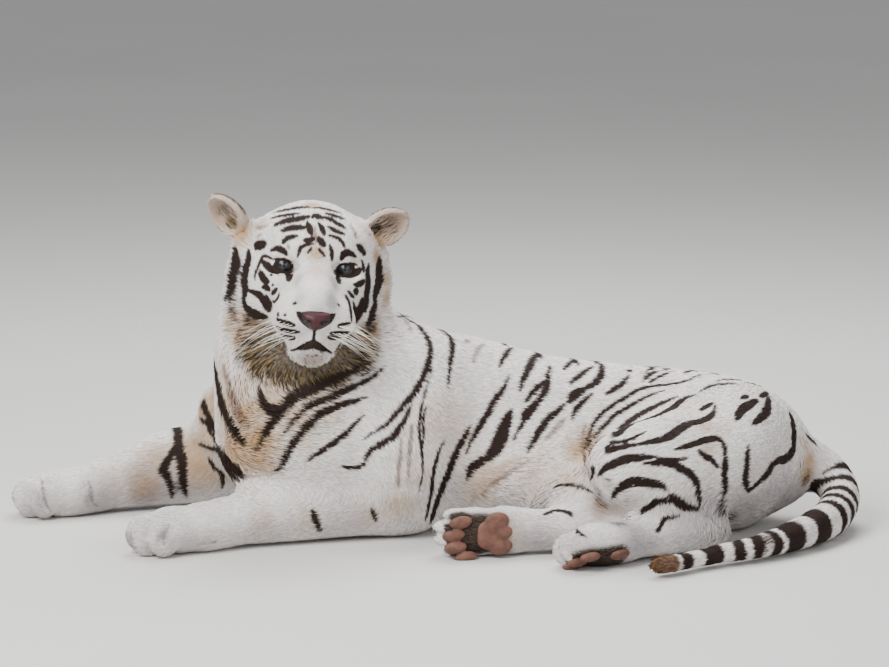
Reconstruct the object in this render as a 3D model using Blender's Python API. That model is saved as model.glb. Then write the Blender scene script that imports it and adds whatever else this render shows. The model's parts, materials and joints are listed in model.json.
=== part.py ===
"""A life-size white tiger lying on the floor, as a still museum model.

Frame: metres, +Z up, the floor at Z = 0. The body lies along X with the head at -X, and the tiger looks along -Y.
The animal is blocked out as muscle and bone masses that flow together into one hide, and is parted again at the
places where a person would name its parts. All shapes are the outside of the coat.
"""

from math import cos, pi, radians, sin

import bmesh
import bpy
import numpy as np
from mathutils import Matrix, Vector

GAP = 0.0004  # clear space that each parting cut leaves between two solids
FORM_VOXEL = 0.0080
HIDE_VOXEL = 0.0062
TRIANGLES = 3360  # the whole hide, before it is parted
PLAIN_WEIGHT, PAW_WEIGHT, FACE_WEIGHT = 0.85, 0.60, 0.42  # the more, the coarser
PAW_REACH, FACE_REACH = (0.075, 0.240, 0.055), 0.19
TAIL_END = (0.40, -0.10)  # beyond this X and before this Y lies the thin end of the tail

# The head has a frame of its own: its origin lies midway between the eyes, +X to the tiger's right, +Y forward out
# of the nose, +Z up.
HEAD_ORIGIN = Vector((-0.256, 0.070, 0.554))
HEAD_TURN = radians(5.5)
HEAD_NOD = radians(1.0)
HEAD_ROLL = radians(-4.5)
EYE_SIDE = 0.0600
EYE_AHEAD = 0.0030
EYE_RADIUS = 0.0185

COLOURS = {
    "coat_white": ((0.78, 0.75, 0.70, 1.0), 0.75),
    "eye": ((0.36, 0.47, 0.55, 1.0), 0.08),
    "nose_leather": ((0.42, 0.17, 0.18, 1.0), 0.40),
}


# ------------------------------------------------------------------------------------------------------- plain tools


def clear_scene():
    for thing in list(bpy.data.objects):
        bpy.data.objects.remove(thing)


def material(name):
    found = bpy.data.materials.get(name)
    if found:
        return found
    made = bpy.data.materials.new(name)
    made.use_nodes = True
    shader = made.node_tree.nodes["Principled BSDF"]
    colour, roughness = COLOURS[name]
    shader.inputs["Base Color"].default_value = colour
    shader.inputs["Roughness"].default_value = roughness
    shader.inputs["Metallic"].default_value = 0.0
    return made


def new_object(name, mesh, finish="coat_white"):
    thing = bpy.data.objects.new(name, mesh)
    bpy.context.scene.collection.objects.link(thing)
    thing.data.materials.clear()
    thing.data.materials.append(material(finish))
    return thing


def object_from(name, shape, finish="coat_white"):
    mesh = bpy.data.meshes.new(name)
    bmesh.ops.recalc_face_normals(shape, faces=shape.faces)
    shape.to_mesh(mesh)
    shape.free()
    return new_object(name, mesh, finish)


def helper_from(name, shape):
    """A cutter, which the model leaves out."""
    made = object_from(name, shape)
    made.hide_render = True
    made.display_type = "WIRE"
    return made


def apply_modifiers(thing):
    graph = bpy.context.evaluated_depsgraph_get()
    mesh = bpy.data.meshes.new_from_object(thing.evaluated_get(graph))
    thing.modifiers.clear()
    thing.data = mesh


def cut(thing, cutter, operation="DIFFERENCE"):
    """Cuts one solid with another, and removes the cutter."""
    boolean = thing.modifiers.new("Cut", "BOOLEAN")
    boolean.operation = operation
    boolean.solver = "EXACT"
    boolean.object = cutter
    apply_modifiers(thing)
    bpy.data.objects.remove(cutter)


def fuse(thing, voxel, rounds):
    remesh = thing.modifiers.new("Fuse", "REMESH")
    remesh.mode = "VOXEL"
    remesh.voxel_size = voxel
    smooth = thing.modifiers.new("Relax", "SMOOTH")
    smooth.factor = 0.5
    smooth.iterations = rounds
    apply_modifiers(thing)


def head_matrix():
    """The head's frame in the world: its forward axis points along -Y, turned, nodded and rolled."""
    facing = Matrix.Rotation(pi + HEAD_TURN, 4, "Z") @ Matrix.Rotation(-HEAD_NOD, 4, "X")
    return Matrix.Translation(HEAD_ORIGIN) @ facing @ Matrix.Rotation(HEAD_ROLL, 4, "Y")


def turned(tilt, lean, swing):
    """A turn in degrees about X, then Y, then Z."""
    spin = Matrix.Rotation(radians(swing), 4, "Z") @ Matrix.Rotation(radians(lean), 4, "Y")
    return spin @ Matrix.Rotation(radians(tilt), 4, "X")


def ellipsoid(shape, place, detail=16):
    bmesh.ops.create_uvsphere(shape, u_segments=detail * 2, v_segments=detail, radius=1.0, matrix=place)


# ------------------------------------------------------------------------------------------- masses that flow together


def smooth_value(before, start, end, after, t):
    """One value of a Catmull-Rom curve through four stations."""
    slope_in, slope_out = (end - before) / 2, (after - start) / 2
    return (
        start * (2 * t**3 - 3 * t**2 + 1)
        + slope_in * (t**3 - 2 * t**2 + t)
        + end * (3 * t**2 - 2 * t**3)
        + slope_out * (t**3 - t**2)
    )


def smooth_stations(stations, steps):
    """Stations between the given ones, so that a limb swells and bends smoothly."""
    ends = [stations[0], *stations, stations[-1]]
    made = []
    for i in range(1, len(ends) - 2):
        for k in range(steps):
            made.append([smooth_value(*values, k / steps) for values in zip(*ends[i - 1 : i + 3])])
    made.append(list(stations[-1]))
    return made


def soft_smaller(a, b, blend):
    """The smaller of two distances, rounded where they are alike, so that two masses flow together."""
    share = np.clip(0.5 + 0.5 * (b - a) / blend, 0, 1)
    return b * (1 - share) + a * share - blend * share * (1 - share)


FAR = 0.08  # masses further from a point than this have no say in its place
STATION_STEPS = 3  # rings between two stations of a limb
ROUND_END = ((0.87, 0.5), (0.5, 0.87))  # a rounded end: share of the width, and how far ahead


def limb_rings(stations, steps):
    """Rings along a limb: centre, half width and half height as vectors, and the way ahead."""
    rows = smooth_stations(stations, steps)
    centres = [Vector(row[:3]) for row in rows]
    rings = []
    for i, row in enumerate(rows):
        along = (centres[min(i + 1, len(rows) - 1)] - centres[max(i - 1, 0)]).normalized()
        across = along.cross(Vector((0, 0, 1))).normalized()
        up = across.cross(along)
        rings.append((centres[i], across * row[3] / 2, up * row[4] / 2, along))
    return rings


def tube(shape, rings, sides):
    """Adds a closed tube of triangles with rounded ends."""
    rounded = []
    for end, way in ((rings[0], -1), (rings[-1], 1)):
        centre, wide, high, along = end
        reach = way * min(wide.length, high.length)
        caps = [(centre + along * reach * ahead, wide * share, high * share, along) for share, ahead in ROUND_END]
        rounded.append(caps)
    loops = []
    for centre, wide, high, _ in rounded[0][::-1] + rings + rounded[1]:
        turns = [2 * pi * k / sides for k in range(sides)]
        loops.append([shape.verts.new(centre + wide * cos(a) + high * sin(a)) for a in turns])
    for low, top in zip(loops, loops[1:]):
        for k in range(sides):
            after = (k + 1) % sides
            shape.faces.new((low[k], low[after], top[after]))
            shape.faces.new((low[k], top[after], top[k]))
    for loop in (loops[0][::-1], loops[-1]):
        for k in range(1, sides - 1):
            shape.faces.new((loop[0], loop[k], loop[k + 1]))


class Form:
    """Masses and limbs, kept both as rough solids and as a smooth distance that joins them softly."""

    def __init__(self):
        self.shape = bmesh.new()
        self.parts = []

    def keep(self, low, high, distance, blend, hollow=False):
        self.parts.append((np.array(low) - FAR, np.array(high) + FAR, distance, blend, hollow))

    def mass(self, centre, radii, turn=(0, 0, 0), frame=None, blend=0.02, hollow=False):
        """One ellipsoid. The turn is in degrees about X, Y and Z. A hollow one presses a dent instead."""
        place = Matrix.Translation(Vector(centre)) @ turned(*turn)
        if frame is not None:
            place = frame @ place
        if not hollow:
            ellipsoid(self.shape, place @ Matrix.Diagonal((*radii, 1.0)), 8)
        middle = np.array(place.translation)
        spin = np.array(place.to_3x3())

        def distance(points):
            local = (points - middle) @ spin
            near = np.linalg.norm(local / radii, axis=1)
            steep = np.linalg.norm(local / np.square(radii), axis=1)
            return near * (near - 1) / np.maximum(steep, 1e-9)

        reach = max(radii)
        self.keep(middle - reach, middle + reach, distance, blend, hollow)

    def limb(self, stations, sides=16, blend=0.03):
        """One closed tube. Each station is x, y, z, width across and height.

        The width is measured level and across the tube, the height square to it.
        """
        rings = limb_rings(stations, STATION_STEPS)
        tube(self.shape, rings, sides)
        line, wides, highs = (np.array([ring[n] for ring in rings]) for n in range(3))

        def distance(points):
            best = None
            for i in range(len(line) - 1):
                step = line[i + 1] - line[i]
                t = np.clip((points - line[i]) @ step / (step @ step), 0, 1)[:, None]
                off = points - line[i] - t * step
                wide = wides[i] + t * (wides[i + 1] - wides[i])
                high = highs[i] + t * (highs[i + 1] - highs[i])
                wide2, high2 = np.square(wide).sum(axis=1), np.square(high).sum(axis=1)
                a, b = (off * wide).sum(axis=1) / wide2, (off * high).sum(axis=1) / high2
                small2 = np.minimum(wide2, high2)
                c = off @ (step / np.linalg.norm(step)) / np.sqrt(small2)
                near = np.sqrt(a * a + b * b + c * c)
                steep = np.sqrt(a * a / wide2 + b * b / high2 + c * c / small2)
                one = near * (near - 1) / np.maximum(steep, 1e-9)
                best = one if best is None else np.minimum(best, one)
            return best

        reach = max(np.abs(wides).max(), np.abs(highs).max())
        self.keep(line.min(axis=0) - reach, line.max(axis=0) + reach, distance, blend)

    def distance(self, points):
        far = np.full(len(points), FAR)
        for low, high, one, blend, hollow in self.parts:
            near = np.all((points > low) & (points < high), axis=1)
            if near.any():
                there = one(points[near])
                if hollow:
                    far[near] = -soft_smaller(-far[near], there, blend)
                else:
                    far[near] = soft_smaller(far[near], there, blend)
        return far

    def settle(self, thing, rounds, step=0.002):
        """Moves an object's points onto the surface where the distance is zero."""
        count = len(thing.data.vertices)
        points = np.empty(count * 3, np.float32)
        thing.data.vertices.foreach_get("co", points)
        points = points.reshape(-1, 3).astype(np.float64)
        for _ in range(rounds):
            here = self.distance(points)
            slope = np.stack([self.distance(points + step * axis) - here for axis in np.eye(3)], axis=1) / step
            size = np.maximum(np.square(slope).sum(axis=1), 0.25)
            move = np.clip(0.8 * here / size, -0.01, 0.01)
            points -= slope * move[:, None]
        thing.data.vertices.foreach_set("co", points.astype(np.float32).ravel())

    def solid(self, name):
        rough = object_from(name, self.shape)
        fuse(rough, FORM_VOXEL, 6)
        self.settle(rough, 5)
        fuse(rough, HIDE_VOXEL, 1)
        self.settle(rough, 2)
        return rough


def detail_weights(thing):
    """A vertex group that says how freely the mesh may be thinned: most on the plain body, least on the head."""
    group = thing.vertex_groups.new(name="plain")
    back = head_matrix().inverted()
    frames = [paw_frame(*paw[:3]).inverted() for paw in PAWS.values()]
    for vertex in thing.data.vertices:
        weight = PLAIN_WEIGHT
        for frame in frames:
            side, ahead, above = frame @ vertex.co
            if abs(side) < PAW_REACH[0] and 0.03 < ahead < PAW_REACH[1] and abs(above) < PAW_REACH[2]:
                weight = PAW_WEIGHT
        if vertex.co.x > TAIL_END[0] and vertex.co.y < TAIL_END[1]:
            weight = PAW_WEIGHT
        spot = back @ vertex.co
        if spot.y > -0.08 and spot.z > -0.19 and spot.length < FACE_REACH:
            weight = FACE_WEIGHT
        group.add([vertex.index], weight, "REPLACE")
    return group.name


def ease_and_thin(hide):
    """Smooths the plain body, then thins the mesh while the head and the paws keep more of theirs."""
    group = detail_weights(hide)
    smooth = hide.modifiers.new("Ease", "SMOOTH")
    smooth.factor = 0.6
    smooth.iterations = 24
    smooth.vertex_group = group
    thin = hide.modifiers.new("Thin", "DECIMATE")
    thin.ratio = TRIANGLES / (2 * len(hide.data.polygons))
    thin.vertex_group = group
    thin.use_collapse_triangulate = True
    apply_modifiers(hide)


# ---------------------------------------------------------------------------------------------- the body's masses
# Limb stations: x, y, z, width across and height.

TRUNK = [
    (0.665, 0.240, 0.125, 0.18, 0.20),
    (0.600, 0.255, 0.138, 0.25, 0.265),
    (0.480, 0.275, 0.156, 0.30, 0.31),
    (0.340, 0.290, 0.160, 0.34, 0.325),
    (0.180, 0.295, 0.168, 0.39, 0.345),
    (0.020, 0.285, 0.188, 0.40, 0.390),
    (-0.120, 0.245, 0.205, 0.40, 0.40),
    (-0.230, 0.195, 0.210, 0.38, 0.38),
    (-0.320, 0.150, 0.200, 0.28, 0.30),
]
NECK = [
    (-0.090, 0.270, 0.215, 0.32, 0.28),
    (-0.238, 0.245, 0.285, 0.38, 0.41),
    (-0.292, 0.220, 0.385, 0.34, 0.38),
    (-0.286, 0.190, 0.480, 0.29, 0.31),
]
TAIL = [
    (0.685, 0.245, 0.126, 0.120, 0.120),
    (0.748, 0.268, 0.118, 0.102, 0.102),
    (0.788, 0.258, 0.088, 0.094, 0.094),
    (0.799, 0.200, 0.060, 0.090, 0.090),
    (0.768, 0.095, 0.043, 0.086, 0.086),
    (0.700, -0.010, 0.036, 0.076, 0.074),
    (0.610, -0.098, 0.029, 0.060, 0.058),
    (0.520, -0.150, 0.025, 0.050, 0.050),
    (0.450, -0.205, 0.024, 0.048, 0.048),
    (0.412, -0.232, 0.026, 0.052, 0.052),
]


def add_trunk(form):
    form.limb(TRUNK, sides=24)
    form.limb(NECK, sides=24, blend=0.06)
    form.mass((-0.250, 0.140, 0.300), (0.165, 0.115, 0.180), turn=(-20, 0, 25), blend=0.05)  # breast ruff
    form.mass((0.210, 0.190, 0.110), (0.200, 0.130, 0.110), turn=(0, 0, -8), blend=0.05)  # belly, to the near side
    form.mass((0.552, 0.215, 0.165), (0.165, 0.150, 0.138), blend=0.05)  # near hip, uppermost


FORELEG_LEFT_UPPER = [
    (-0.030, 0.220, 0.330, 0.15, 0.12),
    (-0.090, 0.120, 0.250, 0.19, 0.17),
    (-0.085, 0.100, 0.160, 0.18, 0.18),
    (-0.080, 0.130, 0.085, 0.15, 0.15),
]
FORELEG_LEFT_LOWER = [
    (-0.070, 0.150, 0.078, 0.13, 0.154),
    (-0.130, 0.125, 0.080, 0.145, 0.161),
    (-0.230, 0.090, 0.074, 0.13, 0.150),
    (-0.330, 0.055, 0.064, 0.112, 0.132),
    (-0.410, 0.030, 0.053, 0.108, 0.110),
    (-0.470, 0.008, 0.046, 0.114, 0.095),
]
FORELEG_RIGHT_UPPER = [
    (-0.140, 0.310, 0.300, 0.16, 0.14),
    (-0.310, 0.330, 0.265, 0.19, 0.19),
    (-0.420, 0.345, 0.200, 0.18, 0.19),
    (-0.425, 0.380, 0.120, 0.16, 0.16),
    (-0.400, 0.415, 0.080, 0.13, 0.14),
]
FORELEG_RIGHT_LOWER = [
    (-0.370, 0.425, 0.074, 0.12, 0.13),
    (-0.470, 0.410, 0.091, 0.145, 0.178),
    (-0.570, 0.390, 0.083, 0.13, 0.164),
    (-0.660, 0.360, 0.064, 0.11, 0.128),
    (-0.730, 0.338, 0.051, 0.11, 0.102),
    (-0.780, 0.322, 0.044, 0.12, 0.092),
]


def add_forelegs(form):
    form.mass((-0.065, 0.150, 0.235), (0.115, 0.085, 0.140), turn=(0, -10, 0), blend=0.05)  # near shoulder
    form.limb(FORELEG_LEFT_UPPER, blend=0.05)
    form.limb(FORELEG_LEFT_LOWER, blend=0.04)
    form.limb(FORELEG_RIGHT_UPPER, blend=0.05)
    form.limb(FORELEG_RIGHT_LOWER, blend=0.04)


HIND_LEFT_THIGH = [
    (0.590, 0.230, 0.150, 0.24, 0.22),
    (0.540, 0.140, 0.160, 0.30, 0.23),
    (0.450, 0.050, 0.160, 0.27, 0.21),
    (0.385, -0.010, 0.165, 0.21, 0.18),
    (0.355, -0.030, 0.170, 0.17, 0.15),
]
HIND_LEFT_SHANK = [
    (0.360, -0.035, 0.165, 0.14, 0.13),
    (0.415, -0.025, 0.125, 0.13, 0.15),
    (0.470, -0.015, 0.080, 0.11, 0.13),
    (0.515, -0.010, 0.048, 0.08, 0.09),
]
HIND_LEFT_FOOT = [
    (0.535, -0.008, 0.038, 0.066, 0.066),
    (0.460, -0.045, 0.042, 0.080, 0.084),
    (0.380, -0.090, 0.042, 0.088, 0.080),
    (0.310, -0.125, 0.040, 0.098, 0.078),
]
HIND_RIGHT_THIGH = [
    (0.560, 0.200, 0.080, 0.22, 0.16),
    (0.420, 0.120, 0.080, 0.20, 0.16),
    (0.300, 0.070, 0.078, 0.16, 0.150),
    (0.250, 0.055, 0.074, 0.13, 0.130),
]
HIND_RIGHT_SHANK = [
    (0.270, 0.050, 0.068, 0.11, 0.11),
    (0.330, 0.010, 0.052, 0.09, 0.10),
    (0.350, -0.010, 0.048, 0.07, 0.09),
]
HIND_RIGHT_FOOT = [
    (0.350, -0.010, 0.047, 0.070, 0.085),
    (0.270, -0.020, 0.047, 0.072, 0.090),
    (0.190, -0.030, 0.048, 0.076, 0.094),
    (0.120, -0.035, 0.048, 0.078, 0.094),
]


def add_hind_legs(form):
    form.limb(HIND_LEFT_THIGH, blend=0.05)
    form.limb(HIND_LEFT_SHANK, blend=0.04)
    form.limb(HIND_LEFT_FOOT, blend=0.02)
    form.limb(HIND_RIGHT_THIGH, blend=0.05)
    form.limb(HIND_RIGHT_SHANK, blend=0.03)
    form.limb(HIND_RIGHT_FOOT, blend=0.02)


# ---------------------------------------------------------------------------------------------------------- paws
# Wrist, toe ends, roll in degrees, then length, width and height, and whether the sole shows its pads.

PAWS = {
    "forepaw_left": ((-0.420, 0.030, 0.044), (-0.620, -0.055, 0.041), 0, 0.205, 0.128, 0.092, False),
    "forepaw_right": ((-0.690, 0.350, 0.045), (-0.880, 0.290, 0.041), 0, 0.190, 0.128, 0.090, False),
    "hindpaw_left": ((0.370, -0.098, 0.042), (0.220, -0.170, 0.040), 30, 0.165, 0.105, 0.078, True),
    "hindpaw_right": ((0.160, -0.035, 0.049), (-0.006, -0.061, 0.048), 90, 0.176, 0.100, 0.076, True),
}
TOES = ((-0.36, 0.76, 0.9), (-0.125, 0.86, 1.0), (0.125, 0.86, 1.0), (0.36, 0.76, 0.9))


def paw_frame(wrist, toes, roll):
    """A paw's frame: origin at the wrist, +Y towards the toes, +Z out of the back of the paw, rolled about +Y."""
    forward = (Vector(toes) - Vector(wrist)).normalized()
    side = forward.cross(Vector((0, 0, 1))).normalized()
    up = side.cross(forward)
    turn = Matrix((side, forward, up)).transposed().to_4x4()
    return Matrix.Translation(Vector(wrist)) @ turn @ Matrix.Rotation(radians(roll), 4, "Y")


def add_paws(form):
    """Each paw: a broad back, four toes side by side and, where the sole shows, its pads."""
    for wrist, toes, roll, length, width, height, pads in PAWS.values():
        frame = paw_frame(wrist, toes, roll)
        form.mass((0, length * 0.42, 0), (width * 0.46, length * 0.45, height * 0.50), frame=frame)
        form.mass((0, length * 0.62, height * 0.05), (width * 0.47, length * 0.26, height * 0.46), frame=frame)
        for side, ahead, size in TOES:
            centre = (side * width, ahead * length, -height * 0.03)
            radii = (width * 0.150 * size, length * 0.19 * size, height * 0.44 * size)
            form.mass(centre, radii, frame=frame, blend=0.006)
            if pads:
                pad = (side * width * 0.98, (ahead - 0.02) * length, -height * 0.36)
                form.mass(pad, (width * 0.115, length * 0.115, height * 0.16), frame=frame, blend=0.005)
        if pads:
            for side, ahead in ((-0.22, 0.43), (0.0, 0.50), (0.22, 0.43)):
                pad = (side * width, ahead * length, -height * 0.36)
                form.mass(pad, (width * 0.17, length * 0.13, height * 0.16), frame=frame, blend=0.006)


# ---------------------------------------------------------------------------------------------------------- head
# Each mass: centre, radii, turn in degrees about X, Y and Z, in the head's frame. Those off the middle come in pairs.

HEAD_MASSES = {
    "cranium": ((0, -0.105, 0.020), (0.114, 0.122, 0.099), (0, 0, 0)),
    "temple": ((0.072, -0.085, 0.030), (0.058, 0.080, 0.060), (0, 0, 0)),
    "forehead": ((0, -0.036, 0.024), (0.084, 0.072, 0.052), (-14, 0, 0)),
    "brow": ((0.046, -0.008, 0.026), (0.038, 0.030, 0.018), (0, 12, 0)),
    "cheekbone": ((0.082, -0.046, -0.032), (0.050, 0.072, 0.056), (0, 0, 10)),
    "bridge_top": ((0, 0.020, -0.004), (0.042, 0.066, 0.031), (-20, 0, 0)),
    "bridge_low": ((0, 0.080, -0.032), (0.039, 0.060, 0.034), (-17, 0, 0)),
    "nose_pad": ((0, 0.118, -0.062), (0.034, 0.030, 0.032), (0, 0, 0)),
    "below_eye": ((0.052, 0.026, -0.042), (0.040, 0.054, 0.036), (-18, 0, 12)),
    "upper_jaw": ((0, 0.050, -0.082), (0.068, 0.084, 0.052), (0, 0, 0)),
    "whisker_pad": ((0.040, 0.088, -0.088), (0.044, 0.052, 0.038), (0, 10, 0)),
    "chin": ((0, 0.081, -0.139), (0.047, 0.050, 0.041), (0, 0, 0)),
    "lower_jaw": ((0, 0.018, -0.124), (0.072, 0.094, 0.054), (0, 0, 0)),
    "jaw_muscle": ((0.086, -0.048, -0.084), (0.052, 0.070, 0.066), (0, 0, 0)),
    "cheek_ruff": ((0.111, -0.100, -0.064), (0.057, 0.060, 0.104), (0, 8, 0)),
    "jaw_ruff": ((0.080, -0.066, -0.144), (0.060, 0.064, 0.056), (0, 0, 0)),
    "throat": ((0, -0.055, -0.155), (0.090, 0.080, 0.060), (0, 0, 0)),
}
EYE_SOCKET = ((EYE_SIDE, 0.028, 0.000), (0.025, 0.018, 0.015), (0, 0, -20))
NOSE_PLACE, NOSE_RADII = (0, 0.133, -0.081), (0.0310, 0.030, 0.0225)
HEAD_BLEND = 0.024
SOCKET_BLEND = 0.012


def both_sides(centre, radii, turn):
    """A mass of the head and, where it is off the middle, its mirror image."""
    yield centre, radii, turn
    if centre[0]:
        yield (-centre[0], *centre[1:]), radii, (turn[0], -turn[1], -turn[2])


def add_head(form):
    frame = head_matrix()
    for entry in HEAD_MASSES.values():
        for centre, radii, turn in both_sides(*entry):
            form.mass(centre, radii, turn, frame, HEAD_BLEND)
    for centre, radii, turn in both_sides(*EYE_SOCKET):
        form.mass(centre, radii, turn, frame, SOCKET_BLEND, hollow=True)


# ---------------------------------------------------------------------------------------------------------- ears
# Each ear: base in the head's frame, lean out to the side, tilt forward, then how far its opening swings outwards.

EARS = {
    "ear_right": ((0.146, -0.105, 0.048), 43, 0, -42),
    "ear_left": ((-0.116, -0.105, 0.050), -52, -10, 18),
}
EAR_HEIGHT = 0.088
EAR_WIDTH = 0.082
EAR_DEPTH = 0.050
EAR_WALL = 0.010


def ear_matrix(name):
    """An ear's frame: origin at its base, +Z up to its tip, +Y out of its opening."""
    base, lean, tilt, swing = EARS[name]
    turn = Matrix.Rotation(radians(lean), 4, "Y") @ Matrix.Rotation(radians(tilt), 4, "X")
    return head_matrix() @ Matrix.Translation(base) @ turn @ Matrix.Rotation(radians(swing), 4, "Z")


def build_ear(hide, name):
    """A rounded cup, its foot set into the head: the outer shell less a hollow that opens forward."""
    frame = ear_matrix(name)
    middle = frame @ Matrix.Translation((0, 0, EAR_HEIGHT * 0.40))
    size = (EAR_WIDTH / 2, EAR_DEPTH / 2, EAR_HEIGHT * 0.60)
    shapes = [bmesh.new() for _ in range(3)]
    ellipsoid(shapes[0], middle @ Matrix.Diagonal((*size, 1)), 7)
    ellipsoid(shapes[1], middle @ Matrix.Diagonal((*(s + GAP for s in size), 1)), 7)
    inner = (size[0] - EAR_WALL, size[1], size[2] - EAR_WALL, 1)
    ahead = Matrix.Translation((0, EAR_DEPTH * 0.36, EAR_HEIGHT * 0.03))
    ellipsoid(shapes[2], middle @ ahead @ Matrix.Diagonal(inner), 6)
    ear = object_from(name, shapes[0])
    cut(hide, helper_from(name + "_pocket", shapes[1]))
    cut(ear, helper_from(name + "_hollow", shapes[2]))


# --------------------------------------------------------------------------------------------- parting

SCRAP = 2e-6  # loose bits smaller than this many cubic metres are dropped

# Thin level cuts: centre, normal, and how far the cut reaches each way.
END_CUTS = (
    ((-0.425, 0.026, 0.042), (-0.93, -0.36, 0.0), 0.085),
    ((-0.715, 0.342, 0.046), (-0.95, -0.24, 0.0), 0.085),
    ((0.345, -0.108, 0.042), (-0.90, -0.42, 0.0), 0.072),
    ((0.145, -0.034, 0.048), (-0.99, -0.10, 0.0), 0.072),
    ((0.766, 0.265, 0.107), (0.80, 0.05, -0.60), 0.072),
    ((0.786, 0.145, 0.050), (-0.35, -0.93, -0.10), 0.060),
    ((0.690, -0.020, 0.036), (-0.69, -0.72, 0.0), 0.056),
    ((0.540, -0.140, 0.026), (-0.80, -0.60, 0.0), 0.045),
)
TRUNK_CUTS = (
    ((-0.275, 0.170, 0.402), (0.0, -0.348, 0.937), 0.30),
    ((-0.220, 0.250, 0.305), (-0.200, 0.0, 0.980), 0.42),
    ((0.100, 0.300, 0.200), (1.0, 0.0, 0.0), 0.40),
    ((0.400, 0.300, 0.200), (1.0, 0.0, 0.0), 0.40),
)
# Rounded cuts, made in this order around one limb each: centre, half sizes, and turn in degrees about X, Y and Z.
LIMB_CUTS = {
    "foreleg_left_lower": ((-0.315, 0.063, 0.065), (0.225, 0.090, 0.112), (0, 0, 19)),
    "foreleg_left_upper": ((-0.065, 0.120, 0.165), (0.120, 0.120, 0.205), (0, 0, 0)),
    "foreleg_right_lower": ((-0.580, 0.384, 0.075), (0.215, 0.100, 0.115), (0, 0, 13)),
    "foreleg_right_upper": ((-0.400, 0.390, 0.150), (0.140, 0.160, 0.220), (0, 0, 0)),
    "hindfoot_left": ((0.448, -0.060, 0.042), (0.158, 0.068, 0.068), (0, 0, 27.5)),
    "shank_left": ((0.450, -0.020, 0.090), (0.110, 0.075, 0.075), (0, 37, 0)),
    "thigh_left": ((0.490, 0.090, 0.160), (0.240, 0.150, 0.140), (0, 0, 48)),
    "hindfoot_right": ((0.218, -0.025, 0.048), (0.162, 0.072, 0.074), (0, 0, 0)),
    "thigh_right": ((0.360, 0.070, 0.070), (0.180, 0.100, 0.105), (0, 0, 25)),
}


# Where each of the other solids lies, to name it by.
PLACES = {
    "head": (-0.255, 0.100, 0.500),
    "neck": (-0.280, 0.220, 0.350),
    "chest": (-0.180, 0.250, 0.170),
    "belly": (0.270, 0.280, 0.170),
    "hips": (0.580, 0.270, 0.150),
    "forepaw_left": (-0.530, -0.015, 0.040),
    "forepaw_right": (-0.800, 0.320, 0.040),
    "hindpaw_left": (0.280, -0.130, 0.040),
    "hindpaw_right": (0.060, -0.040, 0.048),
    "tail_base": (0.790, 0.230, 0.080),
    "tail_middle": (0.750, 0.060, 0.045),
    "tail_end": (0.620, -0.080, 0.030),
    "tail_tip": (0.460, -0.190, 0.025),
}


def slab(shape, centre, normal, reach, thick=GAP):
    turn = Vector(normal).to_track_quat("Z", "Y").to_matrix().to_4x4()
    size = Matrix.Diagonal((2 * reach, 2 * reach, thick, 1.0))
    bmesh.ops.create_cube(shape, size=1.0, matrix=Matrix.Translation(centre) @ turn @ size)


def copy_of(thing, name):
    made = new_object(name, thing.data.copy(), thing.data.materials[0].name)
    return made


def level_floor(thing):
    """Cuts off what presses below the floor, so that the resting parts have small flats at one level."""
    shape = bmesh.new()
    bmesh.ops.create_cube(shape, size=2.6, matrix=Matrix.Translation((0, 0, -1.3)))
    cut(thing, helper_from("floor", shape))


def islands(thing):
    """Splits an object into its loose solids and returns them, without the scraps."""
    whole = bmesh.new()
    whole.from_mesh(thing.data)
    whole.faces.ensure_lookup_table()
    left = set(whole.faces)
    found = []
    while left:
        front = [left.pop()]
        group = set(front)
        while front:
            for edge in front.pop().edges:
                for face in edge.link_faces:
                    if face in left:
                        left.discard(face)
                        group.add(face)
                        front.append(face)
        found.append({face.index for face in group})
    whole.free()
    made = []
    for n, faces in enumerate(found):
        shape = bmesh.new()
        shape.from_mesh(thing.data)
        shape.faces.ensure_lookup_table()
        rest = [face for face in shape.faces if face.index not in faces]
        bmesh.ops.delete(shape, geom=rest, context="FACES")
        if abs(shape.calc_volume()) < SCRAP:
            shape.free()
            continue
        made.append(object_from(f"{thing.name}_{n}", shape, thing.data.materials[0].name))
    bpy.data.objects.remove(thing)
    return made


def volume(thing):
    shape = bmesh.new()
    shape.from_mesh(thing.data)
    size = shape.calc_volume()
    shape.free()
    return size


def part_limb(hide, name):
    """Cuts one limb off the hide along a rounded surface around it and returns the limb."""
    centre, radii, turn = LIMB_CUTS[name]
    cutters = []
    for margin in (0.0, GAP):
        shape = bmesh.new()
        size = Matrix.Diagonal((*(r + margin for r in radii), 1.0))
        ellipsoid(shape, Matrix.Translation(centre) @ turned(*turn) @ size, 6)
        cutters.append(helper_from(name + "_cutter", shape))
    limb = copy_of(hide, name)
    cut(limb, cutters[0], "INTERSECT")
    cut(hide, cutters[1])
    return limb


def largest(pieces):
    """Keeps the largest of some solids and removes the others."""
    pieces = sorted(pieces, key=volume, reverse=True)
    for piece in pieces[1:]:
        bpy.data.objects.remove(piece)
    return pieces[0]


def give_names(pieces):
    """Names each solid after the place it lies nearest to."""
    claims = {}
    for piece in pieces:
        middle = sum((v.co for v in piece.data.vertices), Vector()) / len(piece.data.vertices)
        name = min(PLACES, key=lambda n: (Vector(PLACES[n]) - middle).length)
        claims.setdefault(name, []).append(piece)
    for name, claimed in claims.items():
        largest(claimed).name = name


# --------------------------------------------------------------------------------------------- the whole animal


def build_hide():
    form = Form()
    add_trunk(form)
    add_forelegs(form)
    add_hind_legs(form)
    form.limb(TAIL, sides=14, blend=0.03)
    add_paws(form)
    add_head(form)
    hide = form.solid("hide")
    ease_and_thin(hide)
    level_floor(hide)
    return hide


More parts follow.
